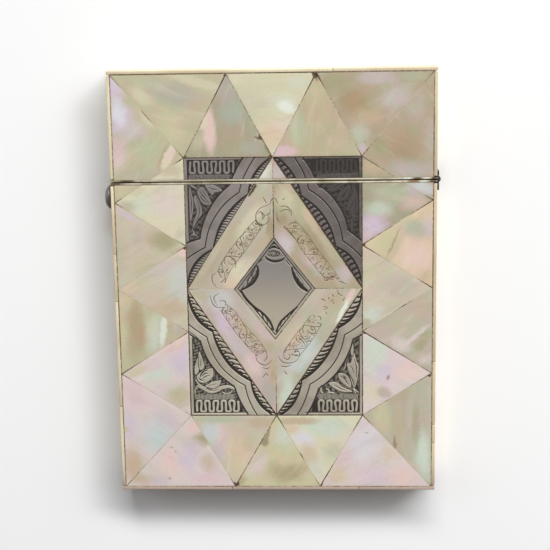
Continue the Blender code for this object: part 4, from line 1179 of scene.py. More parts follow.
def add_cloud(surface, colour, place, cloud, core, depth=ALL_DEPTHS):
    """Lays one soft oval of colour over the rest, down to a depth below the front."""
    x, y, half_width, half_length, turn, tint, strength = cloud
    local = surface.node("ShaderNodeMapping", {
        "Vector": place, "Location": (x, y, FRONT), "Rotation": (0, 0, math.radians(turn)),
        "Scale": (half_width, half_length, depth)}, vector_type="TEXTURE").outputs[0]
    distance = surface.node("ShaderNodeVectorMath", {0: local}, operation="LENGTH").outputs["Value"]
    return surface.mix(colour, tint, surface.ramp(distance, core, CLOUD_EDGE, strength, 0.0))


def nacre(surface, colour, place, grain):
    """Adds the fine play of pearl: growth lines, streaks and a drift between pink and green."""
    drift = surface.noise(0.22, 4, 0.6, 0.6)
    play = surface.mix("pearl pink", "pearl green", surface.ramp(drift, 0.36, 0.64))
    colour = surface.mix(colour, play, 0.22, "OVERLAY")
    layers = surface.number("MULTIPLY", surface.noise(0.07, 2, 0.5, 0.5, place), 34.0)
    lines = surface.number("PINGPONG", layers, 1.0)
    colour = surface.mix(colour, "growth line", surface.ramp(lines, 0.0, 0.22, 0.055, 0.0))
    streaks = surface.noise(0.32, 4, 0.55, 0.8, surface.turned(grain, (0.3, 1.2, 1)))
    colour = surface.lay(colour, "light streak", streaks, 0.5, 0.75, 0.16)
    colour = surface.lay(colour, "dark streak", streaks, 0.5, 0.25, 0.14)
    surface.feed(Roughness=surface.ramp(streaks, 0.3, 0.7, 0.34, 0.22))
    surface.bump(surface.noise(0.5, 3, 0.5, 0.4, surface.turned(grain, (0.35, 1.3, 1))), 0.15, 0.02)
    return colour


def engraved_metal(name, tint, tarnish, fade=None):
    """Worn white metal, greyer where it is sunk and black where it is cut.

    Tint and tarnish mingle in patches, or change along the case between the two ends of fade.
    """
    surface = Surface(name, 0.42)
    scratches = surface.noise(1.4, 4, 0.7, 0.2, surface.turned(24, (0.12, 2.6, 1)))
    if fade:
        share = surface.ramp(surface.along("Y"), *fade)
    else:
        share = surface.ramp(surface.noise(0.12, 3, 0.55), 0.4, 0.66)
    sunk = [channel * 0.3 for channel in tint]
    colour = surface.mix(tint, tarnish, share)
    colour = surface.lay(colour, sunk, surface.noise(0.8, 5, 0.65), 0.56, 0.8, 0.3)
    colour = surface.lay(colour, "plate scratch", scratches, 0.56, 0.72, 0.22)
    colour = surface.mix(colour, sunk, surface.by_depth(SUNK_DEPTHS))
    colour = surface.mix(colour, "plate cut", surface.by_depth(CUT_DEPTHS))
    surface.feed(Base_Color=colour, Roughness=surface.by_depth(SUNK_DEPTHS, 0.75, 0.42),
                 Metallic=surface.by_depth(SUNK_DEPTHS, 0.0, 0.35))
    surface.bump(scratches, 0.2, 0.02)
    return surface.material


# The bone is worn towards the right side, and dusky towards the bottom, between these places
WORN_BONE = (30.0, 39.0)
DUSKY_BONE = (-52.3, -46.0)


def bone():
    """Aged bone: fine lengthwise grain and pores, browner towards the right side and darker towards the
    bottom.
    """
    surface = Surface("old_bone", 0.42)
    grain = surface.noise(0.9, 5, 0.65, 0.3, surface.stretched(1.0, 0.10, 1.0))
    pores = surface.noise(3.2, 3, 0.6, 0.0, surface.stretched(1.0, 0.16, 1.0))
    broad = surface.noise(0.05, 3, 0.6, 0.4)
    colour = surface.mix("bone", "yellow bone", surface.ramp(broad, 0.4, 0.65))
    colour = surface.lay(colour, "worn bone", surface.along("X"), *WORN_BONE, 0.4)
    colour = surface.mix(colour, "dusky bone", surface.ramp(surface.along("Y"), *DUSKY_BONE, 1.0, 0.0))
    colour = surface.lay(colour, "bone grain", grain, 0.55, 0.8, 0.45)
    colour = surface.lay(colour, "bone pore", pores, 0.66, 0.76, 0.6)
    surface.feed(Base_Color=colour)
    surface.bump(grain, 0.3, 0.04)
    surface.set(Coat_Weight=0.15, Coat_Roughness=0.3)
    return surface.material


def plain_metal(name, bright, dull, roughness, metallic, marks_and_highlights=()):
    """Worn, slightly tarnished metal, with clouds of colour where it is marked, and with painted
    highlights where a cloud is white.
    """
    surface = Surface(name, roughness, metallic)
    scratches = surface.noise(1.2, 3, 0.7, 0.1, surface.stretched(0.2, 3.0, 3.0))
    colour = surface.mix(bright, dull, surface.ramp(surface.noise(0.25, 5, 0.65, 0.5), 0.38, 0.66))
    colour = surface.lay(colour, dull, surface.noise(2.2, 4, 0.6), 0.55, 0.72, 0.5)
    if marks_and_highlights:
        frayed = frayed_place(surface)
        for mark in marks_and_highlights:
            colour = add_cloud(surface, colour, frayed, mark, SMALL_CLOUD_CORE, RIM_CLOUD_DEPTH)
    surface.feed(Base_Color=colour,
                 Roughness=surface.ramp(scratches, 0.3, 0.7, roughness - 0.08, roughness + 0.12))
    surface.bump(scratches, 0.2, 0.015)
    return surface.material


def wood():
    """Brown carcass wood, with its grain along the case."""
    surface = Surface("carcass_wood_grain", 0.55)
    rings = surface.noise(0.45, 6, 0.6, 0.8, surface.stretched(1.0, 0.07, 1.0))
    pores = surface.noise(2.6, 3, 0.6, 0.0, surface.stretched(1.0, 0.08, 1.0))
    colour = surface.mix("wood", "wood ring", surface.ramp(rings, 0.36, 0.66))
    surface.feed(Base_Color=surface.lay(colour, "wood pore", pores, 0.58, 0.7, 0.6))
    surface.bump(pores, 0.3, 0.05)
    return surface.material


def dirt():
    """What has gathered in a joint: brown where the mesh says so, and nearly pearl elsewhere."""
    surface = Surface("joint_dirt", 0.7)
    amount = surface.node("ShaderNodeAttribute", attribute_name="dirt").outputs["Fac"]
    broken = surface.ramp(surface.noise(2.4, 3, 0.6), 0.3, 0.7, 0.7, 1.2)
    uneven = surface.number("MULTIPLY", amount, broken, use_clamp=True)
    colour = surface.mix("faint joint", "brown joint", surface.ramp(uneven, 0.2, 0.7))
    surface.feed(Base_Color=surface.mix(colour, "black joint", surface.ramp(uneven, 0.7, 1.0)))
    return surface.material


# Looks of the pearl

# Each tile's ground colour, the turn of its grain and its soft clouds; the white clouds are painted
# highlights where the nacre glints
TILE_LOOKS = {
    "top_1": ("khaki", -18, [
        (-28, 49.6, 6, 2, 0, "green", 0.5), (-22.5, 46.5, 6.5, 3, -12, "grey", 0.85),
        (-17.5, 49.6, 7, 1.1, -16, "cream", 0.6), (-24.5, 38.5, 4, 4.5, 0, "straw", 0.6),
        (-18, 44.5, 2.5, 1.5, 0, "tan", 0.5), (-31, 46.5, 3, 2, -40, "cream", 0.6)]),
    "top_2": ("dove", 75, [
        (-10.7, 48, 3, 3.5, 0, "grey", 0.9), (-9.4, 42.4, 3.6, 3.4, 10, "teal", 0.9),
        (-15.0, 38.4, 1.4, 5.4, 3, "rose", 0.9), (-16.3, 40, 0.7, 1.8, -28, "cream", 0.9),
        (-17.8, 36, 1.7, 3, -25, "cream", 0.4),
        (-10, 36, 4, 4, 0, "biscuit", 0.8), (-4.8, 34, 3, 2, 0, "teal", 0.6),
        (-2.5, 36.3, 0.5, 0.9, 30, "grime", 0.9), (-3.1, 36.1, 0.25, 1.3, 75, "grime", 0.7),
        (-1.3, 33.6, 0.4, 1.4, 20, "smear", 0.6)]),
    "top_3": ("ivory", 10, [
        # the two white clouds here are painted highlights
        (-5.5, 44, 4.5, 5, 0, "green", 0.45), (3.6, 43.5, 2.2, 1.2, -25, "white", 0.95),
        (2.6, 44.6, 3.4, 2.4, -15, "white", 0.5), (6, 49.2, 3, 1.7, 0, "mint", 0.4),
        (-1, 36.8, 3.6, 3.4, 0, "peach", 0.85), (-8.6, 50.2, 2, 1, 0, "cream", 0.5),
        (2.4, 39.8, 3, 2, 0, "rose", 0.4)]),
    "top_4": ("sand", 80, [
        (6.3, 38.5, 2.2, 4.2, 0, "green", 0.85), (10.6, 47, 2.2, 3.4, 0, "straw", 0.5),
        (2.6, 33, 3.2, 1.3, 0, "pink", 0.85), (11.6, 42, 3.2, 5, 0, "tan", 0.6),
        (16.8, 34, 3.4, 2, 0, "khaki", 0.6), (11, 50.4, 0.9, 0.9, 0, "grime", 0.4)]),
    "top_5": ("biscuit", 30, [
        (14.5, 49.6, 3.2, 2.2, 0, "olive", 0.55), (19.4, 44.4, 3.8, 3, -20, "brown", 0.95),
        (22.6, 41, 3, 2.2, 0, "tan", 0.7), (29.5, 45.5, 4.4, 3.4, 30, "lilac", 0.6),
        (18.4, 45.6, 2.6, 2.2, -20, "fawn", 0.6),
        (25, 50.2, 4.6, 1.6, 0, "lilac", 0.55), (20.9, 36.8, 2.4, 3, 0, "mint", 0.45),
        (21.2, 33.4, 1.2, 1.2, 0, "lilac", 0.7), (33.5, 50.4, 3, 1.1, 0, "green", 0.5),
        (22.2, 35, 0.3, 0.25, 0, "smear", 0.7)]),
    "left_1": ("khaki", 40, [
        (-38, 49.4, 2.6, 5, 12, "lavender", 0.95), (-36.8, 41.4, 3.2, 3.4, 0, "lavender", 0.95),
        (-33.8, 37.8, 3.8, 2.6, 0, "lilac", 0.7), (-37.5, 33.4, 3, 4, 0, "pink", 0.75),
        (-30, 34, 3, 3, 0, "green", 0.55), (-30.5, 27.6, 8, 2, 0, "grey", 0.4),
        (-29.5, 41.5, 3, 2, -40, "cream", 0.6), (-36.5, 24, 3, 2, 0, "straw", 0.7),
        (-37, 42.8, 1.9, 3.4, 8, "frost", 0.9), (-25.4, 32, 3.4, 1.3, 64, "smear", 0.6),
        (-25.1, 31.8, 3.2, 1.1, 64, "cream", 1.4), (-24.6, 32.3, 2.3, 0.7, 62, "rose", 0.9),
        (-24.2, 35.9, 1.4, 0.45, -48, "smear", 1.2)]),
    "left_2": ("cream", 20, [
        (-35.2, 20, 2.9, 2.0, 0, "oat", 0.8), (-31.4, 20.4, 2.6, 3.2, 0, "mint", 0.55),
        (-25.8, 20.5, 4, 4.6, 0, "blush", 0.65), (-22.8, 12.6, 1.8, 2, 0, "green", 0.5),
        (-25.5, 29, 4, 2, 0, "khaki", 0.8), (-33.5, 24, 2.6, 1.4, 0, "straw", 0.6)]),
    "left_3": ("linen", 25, [
        (-35.6, 17.8, 2.8, 0.7, -33, "lavender", 0.6), (-26.8, 11.4, 4.6, 3, -20, "olive", 0.85),
        (-37.2, 9, 1.7, 5, 0, "khaki", 0.6), (-33.6, 12.4, 1.8, 2.8, 0, "shell", 0.6),
        (-38.2, 8, 1.2, 5, 0, "green", 0.4), (-31, 5, 4, 2.5, 0, "tan", 0.35)]),
    "left_4": ("linen", 30, [
        (-23.6, 1.5, 3.4, 5.6, 0, "blue", 0.6), (-22.3, 8.7, 1.3, 1.2, 0, "rose", 0.9),
        (-28.5, 5, 3.5, 3, 0, "lilac", 0.5), (-27, -6, 6.5, 2.6, 0, "tan", 0.7),
        (-35, -0.2, 3, 2, 0, "peach", 0.6)]),
    "left_5": ("khaki", 90, [
        (-38.2, -10, 1.7, 9, 0, "straw", 0.6), (-34.7, -10, 2.3, 9, 0, "brown", 0.65),
        (-36.2, -3.6, 1.7, 2, -30, "peach", 0.7), (-29.8, -12, 2.3, 5.8, -4, "mint", 0.75),
        # the white streak here is a painted highlight
        (-27.6, -10.6, 0.75, 4.4, -8, "white", 0.8), (-30.6, -9.6, 1.7, 3, 0, "ivory", 0.5),
        (-24.3, -10.6, 1.8, 1.7, 0, "grey", 0.7)]),
    "left_6": ("blush", 35, [
        (-25, -14.4, 4.2, 1.7, 25, "rose", 0.85), (-23, -19, 3, 3.2, 0, "lavender", 0.9),
        (-29.5, -22, 3.6, 2.6, 10, "mint", 0.9), (-24, -27.6, 3.4, 3.2, 0, "khaki", 0.95),
        (-34.6, -21.4, 3, 1.2, 20, "straw", 0.7), (-30.5, -20, 2.5, 1.5, 20, "pink", 0.5)]),
    "left_7": ("blush", -35, [
        (-35.4, -26.6, 3.6, 4, 0, "pink", 0.9), (-36.4, -36, 2, 4.4, 0, "lavender", 0.8),
        (-30, -38, 4.4, 5.2, 0, "blue", 0.95), (-38, -36.6, 0.8, 0.8, 0, "straw", 0.8),
        (-36.4, -46.4, 3.2, 5, 0, "tan", 0.9), (-27, -34.4, 4, 1.6, -30, "lilac", 0.6)]),
    "right_1": ("biscuit", -35, [
        (30.5, 33.5, 4.4, 4.2, 0, "brown", 0.5), (25.2, 35.2, 2, 3.2, 0, "olive", 0.85),
        (33.5, 28.4, 5.5, 2.4, 0, "dusk", 0.85), (34, 44, 2.6, 4.4, 0, "lilac", 0.3),
        (37.4, 36, 1.8, 5, 0, "lilac", 0.3), (31.6, 33.2, 2.7, 2.6, 0, "fawn", 0.75),
        (35.6, 23.6, 3.6, 2, 0, "blue", 0.85)]),
    "right_2": ("dove", 15, [
        (24.2, 15, 3.6, 3.2, 0, "lavender", 0.95), (25.4, 19.2, 3.4, 2, 0, "mint", 0.7),
        (28.4, 22.6, 4, 2.2, 0, "green", 0.7), (34, 20, 3.6, 1.9, 0, "rose", 0.5),
        (36, 18, 2.6, 1.7, 30, "tan", 0.5), (33.6, 23.2, 2.6, 1.7, 0, "lilac", 0.6),
        (22.4, 12, 1.4, 1.6, 0, "pink", 0.6), (25, 29, 4, 2.4, 0, "tan", 0.95)]),
    "right_3": ("peach", 60, [
        (26.6, 10.6, 5, 2.6, 58, "straw", 0.85), (34.6, 14, 4.2, 2.3, 0, "teal", 0.75),
        (34.4, 7.4, 4, 4.4, 0, "rose", 0.65), (37, 2.2, 2.2, 2, 0, "tan", 0.5),
        (37.4, 15, 1.7, 2.4, 0, "lilac", 0.6), (29, 8.8, 1, 4, -30, "khaki", 0.5),
        (28.9, 10.6, 0.25, 3.6, -24, "smear", 0.5)]),
    "right_4": ("linen", 30, [
        (30.5, 0, 5, 2.8, 0, "grey", 0.5), (24, -7.4, 2.6, 2.6, 0, "mint", 0.85),
        (22.2, -9.4, 1.5, 1.2, 0, "olive", 0.5), (24, 5, 3.5, 3.5, 0, "straw", 0.35),
        (28.5, -7.2, 3.6, 0.7, 28, "cream", 0.6)]),
    "right_5": ("oat", 28, [
        (30.4, -15, 2.8, 1.9, -28, "blush", 0.8), (26.5, -12.4, 2, 1.7, 0, "shell", 0.5),
        (36.2, -13.8, 3.6, 1.7, 38, "olive", 0.8), (37.2, -18.8, 2, 1.7, 0, "blush", 0.7),
        (36, -5, 3, 2.4, 0, "tan", 0.45), (32, -8.4, 4, 2, 25, "khaki", 0.5),
        (34.3, -12.7, 4.4, 0.5, 41, "blush", 0.9)]),
    "right_6": ("blush", -30, [
        (24.4, -17, 3.2, 5.4, 0, "mint", 0.9), (27, -21.8, 3.2, 3, 0, "lavender", 0.75),
        (32.6, -22, 3.8, 2.1, 0, "rose", 0.95), (26.7, -27, 1.9, 1.3, -25, "smear", 0.42),
        (23.6, -27.4, 3, 3, 0, "cream", 0.8), (27.7, -23.3, 0.3, 0.7, -20, "smear", 0.8)]),
    "right_7": ("oat", 92, [
        (30.2, -37, 1.6, 7, 0, "tan", 0.55), (26.2, -33.4, 2.6, 5, 0, "straw", 0.8),
        (30.4, -27.6, 3, 1.8, 25, "stain", 0.35),
        (34.6, -36, 0.9, 6.5, 0, "olive", 0.45), (36.6, -43.6, 2.4, 6.4, 0, "mint", 0.95),
        (32, -46.4, 2.6, 1.8, 0, "peach", 0.6), (29.4, -40.2, 0.4, 1.7, 3, "smear", 0.75)]),
    "bottom_1": ("blush", -40, [
        (-20.8, -36, 2.4, 1.5, 40, "rose", 0.8), (-19.4, -39.2, 2.3, 1.8, 0, "olive", 0.9),
        (-27, -45.4, 2.8, 3.8, 0, "rose", 0.85), (-22, -44, 2.6, 4, 0, "lavender", 0.8),
        (-17, -49.8, 5.5, 1.8, 0, "pink", 0.7), (-35, -50, 4.5, 2, 0, "tan", 0.85),
        (-30, -50, 2.6, 1.4, 0, "lilac", 0.6), (-17, -45.6, 1.8, 3, 0, "tan", 0.55),
        (-26.6, -41.2, 0.35, 0.3, 0, "smear", 0.5), (-25.7, -42.4, 0.3, 0.4, 0, "smear", 0.4),
        (-27.3, -49.4, 0.4, 0.35, 0, "smear", 0.6)]),
    "bottom_2": ("linen", 70, [
        (-14, -33.9, 6.5, 0.9, 0, "green", 0.75), (-16.6, -37, 2.8, 3.2, 0, "blue", 0.9),
        (-13.2, -39, 1.8, 4, 0, "pink", 0.7), (-9.6, -43, 3.2, 6.4, 0, "peach", 0.8),
        (-4, -34.8, 3.4, 1.4, 0, "tan", 0.7), (-15, -42.6, 1.6, 2.4, 0, "lilac", 0.7),
        (-7, -41, 2, 3, 0, "tan", 0.35)]),
    "bottom_3": ("straw", 40, [
        (2.8, -48, 5.2, 2.9, 0, "olive", 0.8), (2, -38, 2.4, 4.2, 0, "mint", 0.75),
        (-4.8, -45.6, 2.6, 5, -32, "blush", 0.7), (0, -43.6, 3.2, 1.7, 15, "peach", 0.3),
        (-9, -50.4, 1.7, 1.7, 0, "brown", 0.6), (-3.1, -39.7, 1.0, 1.3, 12, "smear", 0.8),
        (-2.2, -37.2, 0.45, 2.1, -12, "smear", 0.75)]),
    "bottom_4": ("cream", -30, [
        (12, -36, 6.4, 2.6, 0, "mint", 0.9), (6.4, -39.4, 3.1, 2.3, 0, "frost", 0.85),
        (5.2, -34.4, 5, 1, 0, "tan", 0.85), (9.2, -47, 2.8, 3.2, 0, "mint", 0.5),
        (7.4, -43.6, 2.4, 3, 0, "tan", 0.55),
        (14, -42.4, 2.8, 2.8, 0, "green", 0.6), (3.6, -36.4, 2, 1, 0, "peach", 0.7)]),
    "bottom_5": ("blush", 20, [
        (21.6, -40.2, 4.2, 5.6, -25, "frost", 0.6), (15, -48.6, 3.2, 2.6, 0, "peach", 0.8),
        (25, -49, 4.6, 2.6, 0, "lavender", 0.5), (31.2, -48.6, 3.8, 3, 0, "rose", 0.85),
        (17, -44, 2.4, 3, 0, "pink", 0.6), (28.2, -42.5, 2, 2, 30, "peach", 0.6),
        (22.4, -37.4, 0.5, 0.25, 0, "smear", 0.5)])}

STRIP_LOOKS = {
    "top_left": ("oat", 55, [
        (-11, 11.5, 2.2, 5, -35, "sand", 0.8), (-2.4, 19.5, 1.8, 5, 0, "khaki", 0.6),
        (-6, 16, 1.6, 5, -35, "cream", 0.7), (-15.6, 5, 2.2, 4, -35, "biscuit", 0.8),
        (-8.6, 3.4, 2.4, 4.6, -38, "cream", 0.9), (-10.6, 0.8, 2.2, 1.6, 0, "peach", 0.6),
        (-0.8, 14, 1.0, 3.2, 0, "fawn", 0.85), (-3, 10.5, 1.3, 3.4, -38, "tan", 0.6),
        (-2.2, 28, 2.2, 2.6, 0, "white", 0.7), (-18.6, 1.4, 2.4, 1.6, 0, "sand", 0.7),
        (-8.25, 9, 1.2, 7.4, -36, "stain", 0.3), (-5.0, 23.7, 0.45, 1.6, -36, "grime", 1.1)]),
    "top_right": ("biscuit", -55, [
        (2.8, 10.8, 2.2, 3.4, 20, "lilac", 0.95), (6.5, 18.8, 3.0, 3.6, 30, "khaki", 0.7),
        (3.4, 22.2, 2.4, 3.0, 0, "cream", 0.6), (9.6, 5.4, 1.8, 4.4, 36, "lilac", 0.5),
        (10.4, 9.6, 1.5, 5, 32, "fawn", 0.7), (8.8, 16.6, 1.1, 3, 30, "peach", 0.5),
        (17.0, 3.0, 2.4, 2.6, 0, "lilac", 0.7), (1.5, 28.2, 2.2, 2.6, 0, "lilac", 0.7),
        (13.8, 9.2, 1.4, 4, 33, "khaki", 0.6), (2.0, 16.4, 1.2, 1.2, 0, "fawn", 0.7),
        (9.1, 8.5, 1.2, 7.6, 38, "stain", 0.3)]),
    "bottom_left": ("shell", -52, [
        (-13.4, -3.4, 3.2, 3.2, 0, "blue", 0.6), (-12.4, -9.2, 2.2, 4, 35, "lavender", 0.7),
        (-6.2, -11.6, 1.8, 6, 35, "sand", 0.85), (-5.6, -19.6, 2.4, 3, 0, "rose", 0.6),
        (-5.8, -19.0, 1.8, 2.2, 0, "pink", 0.6), (-1.6, -26.6, 1.6, 3.4, 0, "grey", 0.6),
        (-0.8, -21.5, 1.2, 4, 0, "tan", 0.8), (-1.6, -15.2, 1.6, 1.6, 0, "sand", 0.8),
        (-18.6, -2.1, 2.4, 1, -30, "khaki", 0.8), (-0.7, -22.4, 0.5, 1.5, 0, "stain", 0.6),
        (-9.4, -14.6, 1.4, 3.4, 35, "lilac", 0.6), (-8.1, -11.3, 1.2, 6.6, 38, "stain", 0.15)]),
    "bottom_right": ("oat", 52, [
        (4.2, -12.6, 2.2, 4, -35, "peach", 0.45), (12.8, -6.2, 3.2, 3.4, 30, "khaki", 0.6),
        (14.6, -3.4, 2.4, 2.0, 0, "sand", 0.9), (7.6, -16.4, 2.6, 4.2, -35, "blue", 0.8),
        (2.6, -26.4, 2.0, 5, 0, "mint", 0.85), (18.4, -2.6, 0.8, 2.2, -33, "rose", 0.9),
        # the white streak here is a painted highlight along the strip's outer edge
        (16.6, -6.3, 0.5, 3.0, -27, "white", 1.2),
        (11.6, -9.6, 1.6, 2.4, -35, "green", 0.6), (4.8, -20.4, 2, 1.8, 0, "blue", 0.7),
        (1.4, -18.6, 1.4, 3.4, 0, "shell", 0.6), (6.9, -13, 1.2, 5, -36, "stain", 0.18)])}

# Chips in the edges of tiles: where each is, and its radius
CHIPS = {
    "top_3": [(10.2, 51.2, 0.9)], "top_4": [(10.6, 50.7, 0.9)], "top_5": [(10.9, 50.4, 0.8)],
    "top_1": [(-10.9, 51.0, 0.5)], "top_2": [(-20.9, 31.9, 0.4), (-0.5, 31.9, 0.5)],
    "bottom_2": [(-10.9, -51.0, 0.6)], "bottom_3": [(-10.2, -51.1, 0.7), (-0.6, -33.3, 0.6)],
    "bottom_5": [(10.9, -51.2, 0.5)], "left_4": [(-21.8, 9.6, 0.4)], "right_3": [(21.9, 10.2, 0.4)],
    "right_6": [(21.9, -11.9, 0.4)], "right_7": [(37.9, -22.8, 0.5)]}


# Dirt in the joints

# How strong it is along each joint, at even steps from its outer end to its inner one: the border's
# joints in the order of border_joints, and then those of the panel between named points
BORDER_DIRT = [
    (0.7, 0.3, 0.05, 0.7, 0.05, 0.2, 0.8), (1.0, 0.9, 0.55, 0.5, 0.45, 0.8),
    (0.6, 0.45, 0.5, 0.45, 0.7, 0.8), (1.0, 0.8, 0.45, 0.35, 0.4, 0.5),
    (1.0, 0.4, 0.45, 0.4, 0.35, 0.7), (0.7, 0.3, 0.1, 0.2, 0.35, 0.8),
    (0.8, 0.25, 0.1, 0.05, 0.2, 0.9), (0.8, 0.35, 0.1, 0.15, 0.05, 0.3, 0.8),
    (0.25, 0.1, 0.15, 0.3, 0.7), (0.3, 0.25, 0.1, 0.2, 0.5),
    (0.9, 0.7, 0.35, 0.2, 0.45, 0.8), (0.8, 0.4, 0.2, 0.1, 0.1, 0.2, 0.5),
    (0.7, 0.5, 0.35, 0.3, 0.3, 0.4), (0.8, 0.15, 0.05, 0.05, 0.1, 0.5),
    (1.0, 0.6, 0.5, 0.75, 0.5, 0.9), (0.7, 0.3, 0.1, 0.8, 0.05, 0.1, 0.7, 1.0),
    (0.9, 0.9, 0.5, 0.1, 0.1, 0.7, 0.8), (0.6, 0.05, 0.05, 0.05, 0.2, 0.8),
    (0.8, 0.45, 0.4, 0.4, 0.45, 0.5), (0.8, 0.4, 0.7, 0.8, 0.8, 1.0),
    (0.2, 0.1, 0.7, 0.15, 0.2, 0.7), (1.0, 0.5, 0.05, 0.05, 0.4, 0.6, 1.0),
    (0.9, 0.7, 0.15, 0.5, 0.6, 0.8), (0.9, 0.2, 0.25, 0.5, 0.6, 0.7)]
PANEL_JOINTS = [
    ("panel_left", "panel_top", (0.9, 0.35, 0.1, 0.2, 0.6, 0.8)),
    ("panel_right", "panel_top", (0.9, 0.9, 0.9, 0.8, 0.9)),
    ("panel_left", "panel_bottom", (0.8, 0.7, 0.7, 0.8, 1.0)),
    ("panel_right", "panel_bottom", (0.7, 0.8, 0.7, 0.9, 1.0)),
    ("cartouche_top", "panel_top", (0.9, 0.95, 0.8, 0.4, 0.45, 0.35)),
    ("cartouche_bottom", "panel_bottom", (0.2, 0.3, 0.4, 0.55, 0.6, 1.0)),
    ("cartouche_left", "panel_left", (0.1, 0.1, 0.15, 0.3, 0.6)),
    ("cartouche_right", "panel_right", (0.55, 0.5, 0.45, 0.4, 0.3)),
    ("cartouche_top", "cartouche_left", (0.9, 0.8, 0.85, 1.0)),
    ("cartouche_top", "cartouche_right", (0.9, 0.7, 0.85, 0.9)),
    ("cartouche_bottom", "cartouche_left", (0.8, 0.5, 0.55, 0.8)),
    ("cartouche_bottom", "cartouche_right", (0.8, 0.5, 0.6, 0.8)),
    ("panel_top_left", "panel_top_right", (1.0, 0.95, 0.9, 1.0, 1.0, 1.0)),
    ("panel_bottom_left", "panel_bottom_right", (1.0, 0.8, 0.8, 1.0, 0.9, 1.0)),
    ("panel_top_left", "panel_bottom_left", (0.7, 0.6, 0.9, 0.9, 0.9, 0.9, 1.0)),
    ("panel_top_right", "panel_bottom_right", (1.0, 1.0, 0.9, 0.9, 0.9, 0.8, 0.9))]
# The glue line round the mosaic, beside the bone
GLUE_LINES = [
    ("corner_top_left", "corner_top_right", (0.7, 0.75, 0.6, 0.8, 0.55, 0.6)),
    ("corner_bottom_left", "corner_bottom_right", (0.4, 0.45, 0.6, 0.4, 0.5, 0.6, 0.4)),
    ("corner_top_left", "corner_bottom_left", (0.6, 0.5, 0.7, 0.5, 0.8, 0.5, 0.7, 0.5)),
    ("corner_top_right", "corner_bottom_right", (0.5, 0.7, 0.6, 0.75, 0.5, 0.6, 0.5))]
JOINT_WIDTHS = (0.045, 0.14)       # half widths of a clean and of a dirty joint's line
GLUE_WIDTHS = (0.09, 0.13)
LINE_STEP = 0.45           # between two places at which a line's width is set
DIRT_RISE, DIRT_EDGE, DIRT_ROOT = 0.015, 0.001, 0.35      # above the front, and below it
DIRT_CHANCE, DIRT_WANDER = 0.12, 0.02      # how unevenly strong it is, and how far it strays


def add_dirt_line(bm, layer, start, end, strengths, widths, seed, offset):
    """A thin closed strip of dirt from start to end, wider and darker where it is stronger."""
    run = end - start
    count = max(3, int(run.length / LINE_STEP))
    sideways = plane_point(-run.y, run.x).normalized()
    chance = np.random.default_rng(seed)
    stations = []
    for i in range(count + 1):
        share = i / count
        strength = float(np.interp(share, np.linspace(0, 1, len(strengths)), strengths))
        strength = min(1.0, max(0.0, strength + chance.uniform(-DIRT_CHANCE, DIRT_CHANCE)))
        half = widths[0] + (widths[1] - widths[0]) * strength
        wander = chance.uniform(-DIRT_WANDER, DIRT_WANDER)
        middle = start + run * share + sideways * (offset + wander)
        ring = []
        for side, level in ((-1, DIRT_EDGE), (0, DIRT_RISE), (1, DIRT_EDGE), (0, -DIRT_ROOT)):
            point = middle + sideways * (half * side)
            vert = bm.verts.new((point.x * MM, point.y * MM, (FRONT + level) * MM))
            vert[layer] = strength
            ring.append(vert)
        stations.append(ring)
    for here, after in zip(stations, stations[1:]):
        for k in range(4):
            bm.faces.new((here[k], here[(k + 1) % 4], after[(k + 1) % 4], after[k]))
    bm.faces.new(stations[0][::-1])
    bm.faces.new(stations[-1])


def cut_line_at_seam(start, end, strengths):
    """The shares of a line on the body and on the lid, with their strengths."""
    shares = []
    rise = end.y - start.y
    for body, limit, side in SEAM_SIDES:
        low, high = 0.0, 1.0
        if abs(rise) < LEVEL:
            high = 1.0 if side * (start.y - limit) >= 0 else 0.0
        elif side * rise > 0:
            low = max(low, (limit - start.y) / rise)
        else:
            high = min(high, (limit - start.y) / rise)
        if high - low < LEAST_LINE:
            continue
        steps = np.linspace(0, 1, len(strengths))
        kept = np.interp(np.linspace(low, high, len(strengths)), steps, strengths)
        shares.append((body, start.lerp(end, low), start.lerp(end, high), kept))
    return shares


def make_dirt_lines():
    """All the joints' and glue lines' dirt: one piece for the body and one for the lid."""
    meshes = {body: bmesh.new() for body in ("body", "lid")}
    layers = {body: bm.verts.layers.float.new("dirt") for body, bm in meshes.items()}
    joints = [(*ends, strengths) for ends, strengths in zip(border_joints(), BORDER_DIRT)]
    glue_offset = (BONE_INNER_X - PEARL_X) / 2
    for lines, widths, offset in ((joints + PANEL_JOINTS, JOINT_WIDTHS, 0),
                                  (GLUE_LINES, GLUE_WIDTHS, glue_offset)):
        for seed, (first, last, strengths) in enumerate(lines):
            start, end = named(first, last)
            run = end - start
            outwards = offset if plane_point(-run.y, run.x).dot((start + end) / 2) >= 0 else -offset
            for body, a, b, kept in cut_line_at_seam(start, end, strengths):
                add_dirt_line(meshes[body], layers[body], a, b, kept, widths, seed, outwards)
    material = dirt()
    for body, bm in meshes.items():
        finish_mesh(f"joint_dirt_{body}", bm, material, body, [])


# The front

def make_border():
    """The pearl triangles round the panel."""
    for index, (name, outline) in enumerate(mosaic_tiles().items()):
        look = name.removeprefix("tile_")
        carved_plates(name, outline, "pearl", TILE_GRID,
                      lambda share: worn_face(share, index, CHIPS.get(look, ())),
                      pearl(f"pearl_{look}", *TILE_LOOKS[look]))


# Each plate's tint, and the tarnish on it. The cartouche changes from one to the other between two
# places along the case.
METAL_TINTS = {
    "bottom_left": (srgb(214, 206, 188), srgb(190, 180, 160)),
    "bottom_right": (srgb(206, 196, 178), srgb(178, 168, 153)),
    "top_left": (srgb(166, 156, 150), srgb(146, 137, 128)),
    "top_right": (srgb(132, 122, 118), srgb(104, 96, 90))}
CARTOUCHE_TINTS = (srgb(206, 195, 174), srgb(166, 159, 153))
CARTOUCHE_FADE = (-9.0, 6.0)


